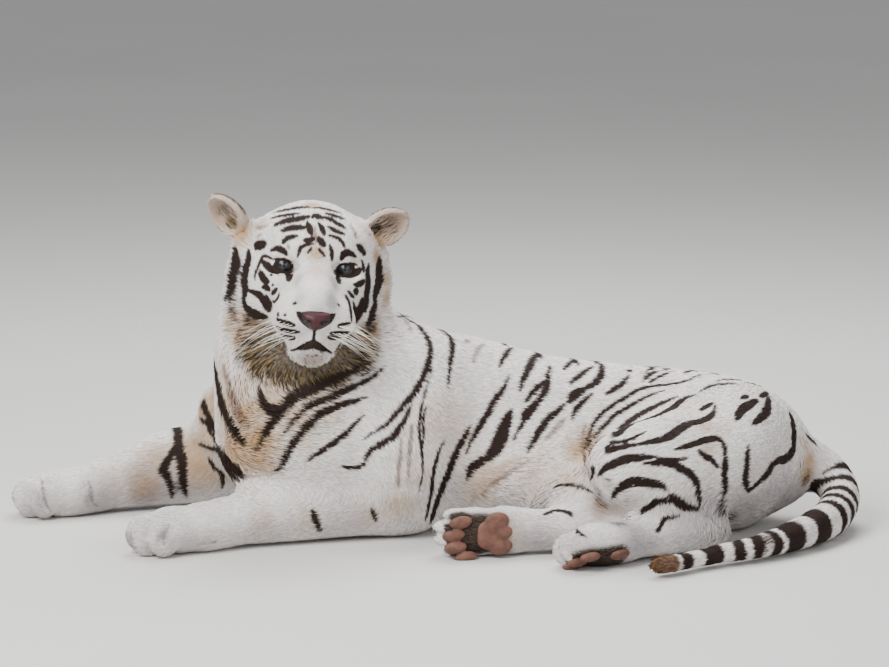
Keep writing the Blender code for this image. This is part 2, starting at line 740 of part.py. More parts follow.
def inset(hide, name, place, radii, finish, detail, shared):
    """Sets a rounded piece into the hide with a gap around it, either as its own ball or made of the hide."""
    for margin in (0.0, GAP):
        shape = bmesh.new()
        size = Matrix.Diagonal((*(r + margin for r in radii), 1.0))
        ellipsoid(shape, place @ size, detail)
        if margin:
            cut(hide, helper_from(name + "_pocket", shape))
        elif shared:
            piece = copy_of(hide, name)
            piece.data.materials.clear()
            piece.data.materials.append(material(finish))
            cut(piece, helper_from(name + "_outline", shape), "INTERSECT")
        else:
            object_from(name, shape, finish)


def stand_on_origin():
    """Moves everything so that the origin is under the middle of the whole model, on the floor."""
    solids = [thing for thing in bpy.context.scene.objects if thing.type == "MESH"]
    points = [vertex.co for thing in solids for vertex in thing.data.vertices]
    low = [min(p[i] for p in points) for i in range(3)]
    high = [max(p[i] for p in points) for i in range(3)]
    shift = Vector((-(low[0] + high[0]) / 2, -(low[1] + high[1]) / 2, -low[2]))
    for thing in solids:
        thing.data.transform(Matrix.Translation(shift))


def main():
    clear_scene()
    hide = build_hide()
    for name in EARS:
        build_ear(hide, name)
    for side, name in ((-1, "eye_left"), (1, "eye_right")):
        place = head_matrix() @ Matrix.Translation((side * EYE_SIDE, EYE_AHEAD, 0))
        inset(hide, name, place, (EYE_RADIUS,) * 3, "eye", 6, False)
    place = head_matrix() @ Matrix.Translation(NOSE_PLACE)
    inset(hide, "nose", place, NOSE_RADII, "nose_leather", 6, True)
    shape = bmesh.new()
    for entry in END_CUTS:
        slab(shape, *entry)
    cut(hide, helper_from("end_cuts", shape))
    pieces = sorted(islands(hide), key=volume, reverse=True)
    trunk, others = pieces[0], pieces[1:]
    for name in LIMB_CUTS:
        largest(islands(part_limb(trunk, name))).name = name
    shape = bmesh.new()
    for entry in TRUNK_CUTS:
        slab(shape, *entry)
    cut(trunk, helper_from("trunk_cuts", shape))
    give_names(others + islands(trunk))
    stand_on_origin()


main()
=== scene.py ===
# %% [markdown]
# # A white tiger at rest
#
# This notebook dresses the plain solids of a lying white tiger: one skin over all of its flesh, a coat of
# small tufts with its stripes, glassy eyes, a wet nose, whiskers and leathery pads. The solids are the
# outside of the coat, so the skin lies a little inside them and the tufts grow back out to where the
# solids end.

import json
from math import cos, pi, radians, sin

import bmesh
import bpy
import numpy as np
from mathutils import Matrix, Vector
from mathutils.bvhtree import BVHTree

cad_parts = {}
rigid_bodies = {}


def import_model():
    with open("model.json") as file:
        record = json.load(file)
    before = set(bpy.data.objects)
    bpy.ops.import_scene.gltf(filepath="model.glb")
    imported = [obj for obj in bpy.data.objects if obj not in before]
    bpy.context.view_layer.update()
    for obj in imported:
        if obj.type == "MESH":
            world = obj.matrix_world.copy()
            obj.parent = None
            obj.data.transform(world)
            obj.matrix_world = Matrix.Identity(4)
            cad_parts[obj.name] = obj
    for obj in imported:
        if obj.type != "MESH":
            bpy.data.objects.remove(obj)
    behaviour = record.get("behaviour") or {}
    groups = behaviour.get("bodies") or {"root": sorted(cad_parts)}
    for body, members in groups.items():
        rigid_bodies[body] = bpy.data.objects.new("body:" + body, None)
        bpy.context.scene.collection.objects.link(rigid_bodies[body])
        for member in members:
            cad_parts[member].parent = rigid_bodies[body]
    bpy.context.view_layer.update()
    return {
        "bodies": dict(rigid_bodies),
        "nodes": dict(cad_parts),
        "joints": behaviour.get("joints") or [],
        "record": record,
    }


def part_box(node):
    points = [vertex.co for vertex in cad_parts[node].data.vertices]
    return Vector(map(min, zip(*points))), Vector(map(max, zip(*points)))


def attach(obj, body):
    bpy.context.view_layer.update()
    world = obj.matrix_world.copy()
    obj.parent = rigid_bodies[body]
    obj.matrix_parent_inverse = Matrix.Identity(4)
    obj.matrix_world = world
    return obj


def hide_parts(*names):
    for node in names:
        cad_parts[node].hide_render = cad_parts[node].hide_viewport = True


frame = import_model()

# %% [markdown]
# ## Where things are
#
# The solids were modelled round the trunk's own lines, and only then set down with the middle of the
# whole animal on the origin. The numbers below are easier to read before that move, so everything is
# built there and is moved at the end. The move is found from an eye: a ball whose place in the head is
# known, and whose box the frame gives.

# %% The head's own frame
HEAD_ORIGIN = Vector((-0.256, 0.070, 0.554))
HEAD_TURN = radians(5.5)
HEAD_NOD = radians(1.0)
HEAD_ROLL = radians(-4.5)
EYE_SIDE, EYE_AHEAD = 0.0600, 0.0030


def head_matrix():
    """The head's frame: origin between the eyes, +X to the tiger's right, +Y out of the nose, +Z up."""
    facing = Matrix.Rotation(pi + HEAD_TURN, 4, "Z") @ Matrix.Rotation(-HEAD_NOD, 4, "X")
    return Matrix.Translation(HEAD_ORIGIN) @ facing @ Matrix.Rotation(HEAD_ROLL, 4, "Y")


eye_low, eye_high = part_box("eye_left")
EYE_RADIUS = (eye_high.z - eye_low.z) / 2
SET_DOWN = (eye_low + eye_high) / 2 - head_matrix() @ Vector((-EYE_SIDE, EYE_AHEAD, 0))
print("set down by", [round(v, 4) for v in SET_DOWN], "and an eye's radius is", round(EYE_RADIUS, 4))

# %% [markdown]
# ## Camera, floor and light
#
# The tiger is seen from the front, from a little above its back and from far enough away that nothing is
# foreshortened. The room is plain: a wide pale floor and large soft lamps.

# %% Camera
VIEW_HEIGHT = radians(10.0)
VIEW_DISTANCE = 7.5
VIEW_LENS = 155.7
LOOKED_AT_HEIGHT = 0.433
looked_at = SET_DOWN + Vector((0, 0, LOOKED_AT_HEIGHT))
back_off = VIEW_DISTANCE * Vector((0, -cos(VIEW_HEIGHT), sin(VIEW_HEIGHT)))

bpy.ops.object.camera_add(location=looked_at + back_off)
camera = bpy.context.object
camera.rotation_euler = (pi / 2 - VIEW_HEIGHT, 0, 0)
camera.data.lens = VIEW_LENS
camera.data.sensor_width = 36.0
bpy.context.scene.camera = camera
print("camera at", [round(v, 2) for v in camera.location])


# %% Writing shader maths as Python
class Wire:
    """A value that flows through a material. Arithmetic on it adds the nodes that work it out."""

    def __init__(self, finish, socket):
        self.finish = finish
        self.socket = socket

    def maths(self, operation, *values):
        return self.finish.node("ShaderNodeMath", {"operation": operation}, values)

    def __add__(self, other):
        return self.maths("ADD", self, other)

    def __sub__(self, other):
        return self.maths("SUBTRACT", self, other)

    def __rsub__(self, other):
        return self.maths("SUBTRACT", other, self)

    def __mul__(self, other):
        return self.maths("MULTIPLY", self, other)

    __radd__ = __add__
    __rmul__ = __mul__

    def rise(self, low, high):
        """0 below low, 1 above high, and smooth between them."""
        settings = {"interpolation_type": "SMOOTHSTEP"}
        return self.finish.node("ShaderNodeMapRange", settings, {0: self, 1: low, 2: high, 3: 0.0, 4: 1.0})


class Finish:
    """A material with one Principled shader, and a short way to add nodes to it."""

    def __init__(self, name, **plain):
        self.material = bpy.data.materials.new(name)
        self.material.use_nodes = True
        self.tree = self.material.node_tree
        self.shader = self.tree.nodes["Principled BSDF"]
        for socket, value in plain.items():
            self.shader.inputs[socket.replace("_", " ")].default_value = value

    def node(self, kind, settings=(), sockets=(), output=0):
        """A node with its settings and with numbers or wires in its sockets. Returns one output as a wire."""
        made = self.tree.nodes.new(kind)
        for key, value in dict(settings).items():
            setattr(made, key, value)
        pairs = sockets.items() if isinstance(sockets, dict) else enumerate(sockets)
        for key, value in pairs:
            if isinstance(value, Wire):
                self.tree.links.new(value.socket, made.inputs[key])
            else:
                made.inputs[key].default_value = value
        return Wire(self, made.outputs[output])

    def places(self):
        return self.node("ShaderNodeTexCoord", output=3)

    def noise(self, scale, detail=2.0):
        sockets = {"Vector": self.places(), "Scale": scale, "Detail": detail}
        return self.node("ShaderNodeTexNoise", {}, sockets)

    def pebbles(self, scale):
        return self.node("ShaderNodeTexVoronoi", {}, {"Vector": self.places(), "Scale": scale})

    def attribute(self, name):
        return self.node("ShaderNodeAttribute", {"attribute_name": name}, output=2)

    def mix(self, share, under, over):
        """One colour over another, by a share from 0 to 1."""
        settings = {"data_type": "RGBA", "clamp_factor": True}
        return self.node("ShaderNodeMix", settings, {0: share, 6: under, 7: over}, output=2)

    def feed(self, socket, value):
        self.tree.links.new(value.socket, self.shader.inputs[socket])

    def bump(self, height, strength, distance):
        sockets = {"Strength": strength, "Distance": distance, "Height": height}
        self.feed("Normal", self.node("ShaderNodeBump", {}, sockets))


# %% Floor
FLOOR_SIZE = 60.0
bpy.ops.object.select_all(action="DESELECT")
bpy.ops.mesh.primitive_plane_add(size=FLOOR_SIZE, location=(0, 0, 0))
floor = bpy.context.object
floor.name = "floor"
floor_finish = Finish("floor_plaster", Roughness=0.85)
grain = floor_finish.noise(0.5, 3.0)
tones = floor_finish.mix(grain.rise(0.35, 0.65), (0.66, 0.65, 0.63, 1.0), (0.68, 0.67, 0.65, 1.0))
floor_finish.feed("Base Color", tones)
floor.data.materials.append(floor_finish.material)

# %% Lamps
# Place, size in metres and power in watts of each.
LAMPS = {
    "key_lamp": ((-2.2, -2.6, 3.4), 2.4, 285.0),
    "fill_lamp": ((3.0, -3.2, 2.0), 3.0, 75.0),
    "top_lamp": ((0.4, 1.6, 3.6), 2.6, 165.0),
}
LIT_PLACE = Vector((0, 0, 0.25))
for name, (place, size, power) in LAMPS.items():
    bpy.ops.object.light_add(type="AREA", location=place)
    lamp = bpy.context.object
    lamp.name = name
    lamp.rotation_euler = (LIT_PLACE - Vector(place)).to_track_quat("-Z", "Y").to_euler()
    lamp.data.size = size
    lamp.data.energy = power
world = bpy.data.worlds.new("studio")
world.use_nodes = True
background = world.node_tree.nodes["Background"]
background.inputs["Color"].default_value = (0.84, 0.84, 0.86, 1.0)
background.inputs["Strength"].default_value = 0.50
bpy.context.scene.world = world
print("lamps:", ", ".join(LAMPS))

# %% [markdown]
# ## The body as a distance
#
# Every limb is a line of stations with a width and a height, and every muscle is an ellipsoid. For any
# point in space a short formula tells how far it is from each of them, and a soft minimum joins these
# distances, so that masses flow together as flesh does. The solids were made from the same numbers. Here
# they steer the points of a finer skin, which could also be sculpted by hand, but then would not follow
# the solids so closely.


# %% Distances
def turned(tilt, lean, swing):
    """A turn in degrees about X, then Y, then Z."""
    spin = Matrix.Rotation(radians(swing), 4, "Z") @ Matrix.Rotation(radians(lean), 4, "Y")
    return spin @ Matrix.Rotation(radians(tilt), 4, "X")


def smooth_value(before, start, end, after, t):
    """One value of a Catmull-Rom curve through four stations."""
    slope_in, slope_out = (end - before) / 2, (after - start) / 2
    return (
        start * (2 * t**3 - 3 * t**2 + 1)
        + slope_in * (t**3 - 2 * t**2 + t)
        + end * (3 * t**2 - 2 * t**3)
        + slope_out * (t**3 - t**2)
    )


def smooth_stations(stations, steps):
    """Stations between the given ones, so that a line bends smoothly."""
    ends = [stations[0], *stations, stations[-1]]
    made = []
    for i in range(1, len(ends) - 2):
        for k in range(steps):
            made.append([smooth_value(*values, k / steps) for values in zip(*ends[i - 1 : i + 3])])
    made.append(list(stations[-1]))
    return made


def soft_smaller(a, b, blend):
    """The smaller of two distances, rounded where they are alike."""
    share = np.clip(0.5 + 0.5 * (b - a) / blend, 0, 1)
    return b * (1 - share) + a * share - blend * share * (1 - share)


FAR = 0.08  # masses further from a point than this have no say in its place


class Form:
    """Masses and limbs as one smooth distance."""

    def __init__(self):
        self.parts = []

    def keep(self, low, high, distance, blend, hollow=False):
        self.parts.append((np.array(low) - FAR, np.array(high) + FAR, distance, blend, hollow))

    def mass(self, centre, radii, turn=(0, 0, 0), frame=None, blend=0.02, hollow=False):
        """One ellipsoid, turned in degrees about X, Y and Z. A hollow one presses a dent instead."""
        place = Matrix.Translation(Vector(centre)) @ turned(*turn)
        if frame is not None:
            place = frame @ place
        middle = np.array(place.translation)
        spin = np.array(place.to_3x3())
        radii = np.array(radii)

        def distance(points):
            local = (points - middle) @ spin
            near = np.linalg.norm(local / radii, axis=1)
            steep = np.linalg.norm(local / np.square(radii), axis=1)
            return near * (near - 1) / np.maximum(steep, 1e-9)

        reach = radii.max()
        self.keep(middle - reach, middle + reach, distance, blend, hollow)

    def limb(self, stations, blend=0.03):
        """A bent tube. Each station is x, y, z, width across and height."""
        rows = np.array(smooth_stations(stations, 3))
        line = rows[:, :3]
        along = np.gradient(line, axis=0)
        along /= np.linalg.norm(along, axis=1)[:, None]
        across = np.cross(along, (0, 0, 1))
        across /= np.linalg.norm(across, axis=1)[:, None]
        wides = across * rows[:, 3:4] / 2
        highs = np.cross(across, along) * rows[:, 4:5] / 2

        def distance(points):
            best = np.full(len(points), FAR * 2)
            for i in range(len(line) - 1):
                step = line[i + 1] - line[i]
                t = np.clip((points - line[i]) @ step / (step @ step), 0, 1)[:, None]
                off = points - line[i] - t * step
                wide = wides[i] + t * (wides[i + 1] - wides[i])
                high = highs[i] + t * (highs[i + 1] - highs[i])
                wide2, high2 = np.square(wide).sum(axis=1), np.square(high).sum(axis=1)
                a, b = (off * wide).sum(axis=1) / wide2, (off * high).sum(axis=1) / high2
                small2 = np.minimum(wide2, high2)
                c = off @ (step / np.linalg.norm(step)) / np.sqrt(small2)
                near = np.sqrt(a * a + b * b + c * c)
                steep = np.sqrt(a * a / wide2 + b * b / high2 + c * c / small2)
                best = np.minimum(best, near * (near - 1) / np.maximum(steep, 1e-9))
            return best

        reach = rows[:, 3:5].max() / 2
        self.keep(line.min(axis=0) - reach, line.max(axis=0) + reach, distance, blend)

    def distance(self, points):
        far = np.full(len(points), FAR)
        for low, high, one, blend, hollow in self.parts:
            near = np.all((points > low) & (points < high), axis=1)
            if near.any():
                there = one(points[near])
                if hollow:
                    far[near] = -soft_smaller(-far[near], there, blend)
                else:
                    far[near] = soft_smaller(far[near], there, blend)
        return far

    def settle(self, points, depth, rounds, step=0.002):
        """Moves points to where the distance is minus the wanted depth."""
        for _ in range(rounds):
            here = self.distance(points) + depth
            ahead = [self.distance(points + step * axis) + depth - here for axis in np.eye(3)]
            slope = np.stack(ahead, axis=1) / step
            size = np.maximum(np.square(slope).sum(axis=1), 0.25)
            points = points - slope * np.clip(0.8 * here / size, -0.01, 0.01)[:, None]
        return points


# %% [markdown]
# ### Trunk, legs and tail
#
# The tiger lies on its chest with the hips rolled onto the right side. Its left legs are the near ones.

# %% The body's masses
# Stations of each limb: x, y, z, width across and height.
TRUNK = [
    (0.665, 0.24, 0.125, 0.18, 0.2), (0.6, 0.255, 0.138, 0.25, 0.265), (0.48, 0.275, 0.156, 0.3, 0.31),
    (0.34, 0.29, 0.16, 0.34, 0.325), (0.18, 0.295, 0.168, 0.39, 0.345), (0.02, 0.285, 0.188, 0.4, 0.39),
    (-0.12, 0.245, 0.205, 0.4, 0.4), (-0.23, 0.195, 0.21, 0.38, 0.38), (-0.32, 0.15, 0.2, 0.28, 0.3),
]
NECK = [
    (-0.09, 0.27, 0.215, 0.32, 0.28), (-0.238, 0.245, 0.285, 0.38, 0.41), (-0.292, 0.22, 0.385, 0.34, 0.38),
    (-0.286, 0.19, 0.48, 0.29, 0.31),
]
TAIL = [
    (0.685, 0.245, 0.126, 0.12, 0.12), (0.748, 0.268, 0.118, 0.102, 0.102),
    (0.788, 0.258, 0.088, 0.094, 0.094), (0.799, 0.2, 0.06, 0.09, 0.09), (0.768, 0.095, 0.043, 0.086, 0.086),
    (0.7, -0.01, 0.036, 0.076, 0.074), (0.61, -0.098, 0.029, 0.06, 0.058), (0.52, -0.15, 0.025, 0.05, 0.05),
    (0.45, -0.205, 0.024, 0.048, 0.048), (0.412, -0.232, 0.026, 0.052, 0.052),
]
FORELEG_LEFT = [
    (-0.03, 0.22, 0.33, 0.15, 0.12), (-0.09, 0.12, 0.25, 0.19, 0.17), (-0.085, 0.1, 0.16, 0.18, 0.18),
    (-0.08, 0.13, 0.085, 0.15, 0.15),
]
FOREARM_LEFT = [
    (-0.07, 0.15, 0.078, 0.13, 0.154), (-0.13, 0.125, 0.08, 0.145, 0.161), (-0.23, 0.09, 0.074, 0.13, 0.15),
    (-0.33, 0.055, 0.064, 0.112, 0.132), (-0.41, 0.03, 0.053, 0.108, 0.11),
    (-0.47, 0.008, 0.046, 0.114, 0.095),
]
FORELEG_RIGHT = [
    (-0.14, 0.31, 0.3, 0.16, 0.14), (-0.31, 0.33, 0.265, 0.19, 0.19), (-0.42, 0.345, 0.2, 0.18, 0.19),
    (-0.425, 0.38, 0.12, 0.16, 0.16), (-0.4, 0.415, 0.08, 0.13, 0.14),
]
FOREARM_RIGHT = [
    (-0.37, 0.425, 0.074, 0.12, 0.13), (-0.47, 0.41, 0.091, 0.145, 0.178), (-0.57, 0.39, 0.083, 0.13, 0.164),
    (-0.66, 0.36, 0.064, 0.11, 0.128), (-0.73, 0.338, 0.051, 0.11, 0.102), (-0.78, 0.322, 0.044, 0.12, 0.092),
]
THIGH_LEFT = [
    (0.59, 0.23, 0.15, 0.24, 0.22), (0.54, 0.14, 0.16, 0.3, 0.23), (0.45, 0.05, 0.16, 0.27, 0.21),
    (0.385, -0.01, 0.165, 0.21, 0.18), (0.355, -0.03, 0.17, 0.17, 0.15),
]
SHANK_LEFT = [
    (0.36, -0.035, 0.165, 0.14, 0.13), (0.415, -0.025, 0.125, 0.13, 0.15), (0.47, -0.015, 0.08, 0.11, 0.13),
    (0.515, -0.01, 0.048, 0.08, 0.09),
]
HINDFOOT_LEFT = [
    (0.535, -0.008, 0.038, 0.066, 0.066), (0.46, -0.045, 0.042, 0.08, 0.084),
    (0.38, -0.09, 0.042, 0.088, 0.08), (0.31, -0.125, 0.04, 0.098, 0.078),
]
THIGH_RIGHT = [
    (0.56, 0.2, 0.08, 0.22, 0.16), (0.42, 0.12, 0.08, 0.2, 0.16), (0.3, 0.07, 0.078, 0.16, 0.15),
    (0.25, 0.055, 0.074, 0.13, 0.13),
]
SHANK_RIGHT = [
    (0.27, 0.05, 0.068, 0.11, 0.11), (0.33, 0.01, 0.052, 0.09, 0.1), (0.35, -0.01, 0.048, 0.07, 0.09),
]
HINDFOOT_RIGHT = [
    (0.35, -0.01, 0.047, 0.07, 0.085), (0.27, -0.02, 0.047, 0.072, 0.09), (0.19, -0.03, 0.048, 0.076, 0.094),
    (0.12, -0.035, 0.048, 0.078, 0.094),
]


# Centre, radii and turn in degrees of each mass.
BODY_MASSES = {
    "breast_ruff": ((-0.250, 0.140, 0.300), (0.165, 0.115, 0.180), (-20, 0, 25)),
    "belly": ((0.210, 0.190, 0.110), (0.200, 0.130, 0.110), (0, 0, -8)),
    "near_hip": ((0.552, 0.215, 0.165), (0.165, 0.150, 0.138), (0, 0, 0)),
    "near_shoulder": ((-0.065, 0.150, 0.235), (0.115, 0.085, 0.140), (0, -10, 0)),
}
BODY_BLEND = 0.05
# Each limb, and how softly it joins what is there already.
LIMBS = [
    (FORELEG_LEFT, 0.05), (FOREARM_LEFT, 0.04), (FORELEG_RIGHT, 0.05), (FOREARM_RIGHT, 0.04),
    (THIGH_LEFT, 0.05), (SHANK_LEFT, 0.04), (HINDFOOT_LEFT, 0.02),
    (THIGH_RIGHT, 0.05), (SHANK_RIGHT, 0.03), (HINDFOOT_RIGHT, 0.02), (TAIL, 0.03),
]


def add_body(form):
    form.limb(TRUNK)
    form.limb(NECK, 0.06)
    for mass in BODY_MASSES.values():
        form.mass(*mass, blend=BODY_BLEND)
    for stations, blend in LIMBS:
        form.limb(stations, blend)


# %% Paws
# Wrist, toe ends, roll in degrees, length, width, height, and whether the sole shows its pads.
PAWS = {
    "forepaw_left": ((-0.420, 0.030, 0.044), (-0.620, -0.055, 0.041), 0, 0.205, 0.128, 0.092, False),
    "forepaw_right": ((-0.690, 0.350, 0.045), (-0.880, 0.290, 0.041), 0, 0.190, 0.128, 0.090, False),
    "hindpaw_left": ((0.370, -0.098, 0.042), (0.220, -0.170, 0.040), 30, 0.165, 0.105, 0.078, True),
    "hindpaw_right": ((0.160, -0.035, 0.049), (-0.006, -0.061, 0.048), 90, 0.176, 0.100, 0.076, True),
}
# Side and ahead of each toe, as shares of the paw's width and length, and its size.
TOES = ((-0.36, 0.76, 0.9), (-0.125, 0.86, 1), (0.125, 0.86, 1), (0.36, 0.76, 0.9))
# Side, ahead, half width and half length of each lobe, as shares of the paw's width and length.
MAIN_PAD = ((-0.25, 0.34, 0.17, 0.13), (0, 0.31, 0.16, 0.14), (0.25, 0.34, 0.17, 0.13), (0, 0.45, 0.27, 0.15))
FAN_TURN = -8.0  # degrees


def paw_frame(wrist, toes, roll):
    """A paw's frame: origin at the wrist, +Y towards the toes, +Z out of its back, rolled about +Y."""
    forward = (Vector(toes) - Vector(wrist)).normalized()
    side = forward.cross(Vector((0, 0, 1))).normalized()
    up = side.cross(forward)
    turn = Matrix((side, forward, up)).transposed().to_4x4()
    return Matrix.Translation(Vector(wrist)) @ turn @ Matrix.Rotation(radians(roll), 4, "Y")


def sole_frame(wrist, toes, roll, length):
    """A paw's frame with its pads fanned a little to one side, the more so the further the paw is rolled."""
    middle = Matrix.Translation((0, length * 0.40, 0))
    fan = Matrix.Rotation(radians(FAN_TURN * sin(radians(roll)) ** 3), 4, "Z")
    return paw_frame(wrist, toes, roll) @ middle @ fan @ middle.inverted()


def add_paws(form):
    """Each paw: a broad back and four toes side by side."""
    for wrist, toes, roll, length, width, height, pads in PAWS.values():
        frame = paw_frame(wrist, toes, roll)
        back, knuckles = (0, length * 0.42, 0), (0, length * 0.62, height * 0.05)
        form.mass(back, (width * 0.46, length * 0.45, height * 0.50), frame=frame)
        form.mass(knuckles, (width * 0.47, length * 0.26, height * 0.46), frame=frame)
        for side, ahead, size in TOES:
            centre = (side * width, ahead * length, -height * 0.03)
            radii = (width * 0.150 * size, length * 0.19 * size, height * 0.44 * size)
            form.mass(centre, radii, frame=frame, blend=0.006)


# %% Head
NOSE_PLACE, NOSE_RADII = np.array((0, 0.133, -0.081)), np.array((0.0310, 0.030, 0.0225))
# Centre, radii and turn in degrees of each mass in the head's frame.
HEAD_MASSES = {
    "cranium": ((0, -0.105, 0.020), (0.114, 0.122, 0.099), (0, 0, 0)),
    "temple": ((0.072, -0.085, 0.030), (0.058, 0.080, 0.060), (0, 0, 0)),
    "forehead": ((0, -0.036, 0.024), (0.084, 0.072, 0.052), (-14, 0, 0)),
    "brow": ((0.046, -0.008, 0.026), (0.038, 0.030, 0.018), (0, 12, 0)),
    "cheekbone": ((0.082, -0.046, -0.032), (0.050, 0.072, 0.056), (0, 0, 10)),
    "bridge_top": ((0, 0.020, -0.004), (0.042, 0.066, 0.031), (-20, 0, 0)),
    "bridge_low": ((0, 0.080, -0.032), (0.039, 0.060, 0.034), (-17, 0, 0)),
    "nose_pad": ((0, 0.118, -0.062), (0.034, 0.030, 0.032), (0, 0, 0)),
    "below_eye": ((0.052, 0.026, -0.042), (0.040, 0.054, 0.036), (-18, 0, 12)),
    "upper_jaw": ((0, 0.050, -0.082), (0.068, 0.084, 0.052), (0, 0, 0)),
    "whisker_pad": ((0.040, 0.088, -0.088), (0.044, 0.052, 0.038), (0, 10, 0)),
    "chin": ((0, 0.081, -0.139), (0.047, 0.050, 0.041), (0, 0, 0)),
    "lower_jaw": ((0, 0.018, -0.124), (0.072, 0.094, 0.054), (0, 0, 0)),
    "jaw_muscle": ((0.086, -0.048, -0.084), (0.052, 0.070, 0.066), (0, 0, 0)),
    "cheek_ruff": ((0.111, -0.100, -0.064), (0.057, 0.060, 0.104), (0, 8, 0)),
    "jaw_ruff": ((0.080, -0.066, -0.144), (0.060, 0.064, 0.056), (0, 0, 0)),
    "throat": ((0, -0.055, -0.155), (0.090, 0.080, 0.060), (0, 0, 0)),
}
EYE_SOCKET = ((EYE_SIDE, 0.028, 0.000), (0.025, 0.018, 0.015), (0, 0, -20))
HEAD_BLEND = 0.024
SOCKET_BLEND = 0.012


def both_sides(centre, radii, turn):
    """A mass of the head and, where it is off the middle, its mirror image."""
    yield centre, radii, turn
    if centre[0]:
        yield (-centre[0], *centre[1:]), radii, (turn[0], -turn[1], -turn[2])


def add_pairs(form, entries, blend, hollow=False):
    for entry in entries:
        for mass in both_sides(*entry):
            form.mass(*mass, head_matrix(), blend, hollow)


def add_head(form):
    add_pairs(form, HEAD_MASSES.values(), HEAD_BLEND)
    add_pairs(form, [EYE_SOCKET], SOCKET_BLEND, hollow=True)


# %% Ears
# Base in the head's frame, then lean, tilt and swing in degrees.
EARS = {
    "ear_right": ((0.146, -0.105, 0.048), 43, 0, -42),
    "ear_left": ((-0.116, -0.105, 0.050), -52, -10, 18),
}
EAR_HEIGHT, EAR_WIDTH, EAR_DEPTH, EAR_WALL = 0.088, 0.082, 0.050, 0.010


def ear_matrix(name):
    """An ear's frame: origin at its base, +Z up to its tip, +Y out of its opening."""
    base, lean, tilt, swing = EARS[name]
    turn = Matrix.Rotation(radians(lean), 4, "Y") @ Matrix.Rotation(radians(tilt), 4, "X")
    return head_matrix() @ Matrix.Translation(base) @ turn @ Matrix.Rotation(radians(swing), 4, "Z")


def add_ears(form):
    """A rounded cup each: the outer shell less a hollow that opens forward."""
    size = np.array((EAR_WIDTH / 2, EAR_DEPTH / 2, EAR_HEIGHT * 0.60))
    inner = (size[0] - EAR_WALL, size[1], size[2] - EAR_WALL)
    middle = EAR_HEIGHT * 0.40
    opening = (0, EAR_DEPTH * 0.36, middle + EAR_HEIGHT * 0.03)
    for name in EARS:
        frame = ear_matrix(name)
        form.mass((0, 0, middle), size, frame=frame, blend=0.006)
        form.mass(opening, inner, frame=frame, blend=0.004, hollow=True)


def flesh_form():
    """The whole animal but for its lids and its lips."""
    form = Form()
    for add in (add_body, add_paws, add_head, add_ears):
        add(form)
    return form


# %% [markdown]
# ## The skin
#
# The skin starts as a copy of all the solids, joined and remeshed into one closed surface. Its points
# then settle onto the smooth distance, the plain body is eased so that no limb's line shows, the head and
# the paws are divided finer, and everything is drawn in by the depth of the coat.

# %% Skin from the solids
GLASSY = ("eye_left", "eye_right", "nose")
FLESH = [name for name in frame["nodes"] if name not in GLASSY]
SKIN_VOXEL = 0.0080


def plain_object(name, mesh):
    made = bpy.data.objects.new(name, mesh)
    bpy.context.scene.collection.objects.link(made)
    return made


def only(thing):
    """Selects one object and nothing else."""
    bpy.ops.object.select_all(action="DESELECT")
    thing.select_set(True)
    bpy.context.view_layer.objects.active = thing


def join(things, into):
    """Joins things into one of them."""
    only(into)
    for thing in things:
        thing.select_set(True)
    bpy.ops.object.join()
    return into


def fuse(thing, voxel):
    """Remeshes the active thing into one closed surface."""
    remesh = thing.modifiers.new("Fuse", "REMESH")
    remesh.mode = "VOXEL"
    remesh.voxel_size = voxel
    bpy.ops.object.modifier_apply(modifier="Fuse")


def ease(thing, rounds, factor=0.5, group=""):
    """Smooths the active thing, as much as its vertex group says where one is named."""
    smooth = thing.modifiers.new("Ease", "SMOOTH")
    smooth.factor = factor
    smooth.iterations = rounds
    smooth.vertex_group = group
    bpy.ops.object.modifier_apply(modifier="Ease")


def read(layer, name, kind=np.float32, width=3):
    """The numbers that every item of a mesh's layer has under one name."""
    values = np.empty(len(layer) * width, kind)
    layer.foreach_get(name, values)
    return values.reshape(-1, width)


def read_points(thing):
    return read(thing.data.vertices, "co").astype(np.float64)


def read_normals(thing):
    return read(thing.data.vertex_normals, "vector").astype(np.float64)


def write_points(thing, points):
    thing.data.vertices.foreach_set("co", np.asarray(points, np.float32).ravel())
    thing.data.update()


copies = [plain_object(f"copy_{name}", solid.data.copy()) for name, solid in frame["nodes"].items()]
skin = join(copies, copies[0])
skin.name = "skin"
skin.data.materials.clear()
skin.data.transform(Matrix.Translation(-SET_DOWN))
fuse(skin, SKIN_VOXEL)
print("skin points:", len(skin.data.vertices))


# %% Near and far
def near(points, centre, inner, outer):
    """1 within the inner distance of a place, 0 beyond the outer one, smooth between them."""
    far = np.linalg.norm(points - np.array(centre), axis=1)
    share = np.clip((outer - far) / (outer - inner), 0, 1)
    return share * share * (3 - 2 * share)


def local(points, frame):
    """Points as seen in a frame of their own."""
    back = np.array(frame.inverted())
    return points @ back[:3, :3].T + back[:3, 3]


def in_head(points):
    return local(points, head_matrix())


def in_ear(points, name):
    return local(points, ear_matrix(name))


def in_world(points, frame):
    place = np.array(frame)
    return np.asarray(points) @ place[:3, :3].T + place[:3, 3]


FACE_MIDDLE = (0, 0.02, -0.04)
EAR_MIDDLE = (0, 0, 0.045)
PAW_MIDDLE = 0.55  # share of a paw's length


def head_share(points):
    return near(in_head(points), FACE_MIDDLE, 0.15, 0.19)


def ear_share(points):
    return np.maximum.reduce([near(in_ear(points, name), EAR_MIDDLE, 0.055, 0.075) for name in EARS])


def paw_share(points):
    """How much a point belongs to a paw."""
    shares = []
    for wrist, toes, roll, length, *_ in PAWS.values():
        spot = local(points, paw_frame(wrist, toes, roll)) - (0, length * PAW_MIDDLE, 0)
        shares.append(near(spot, (0, 0, 0), length * 0.50, length * 0.72))
    return np.maximum.reduce(shares)


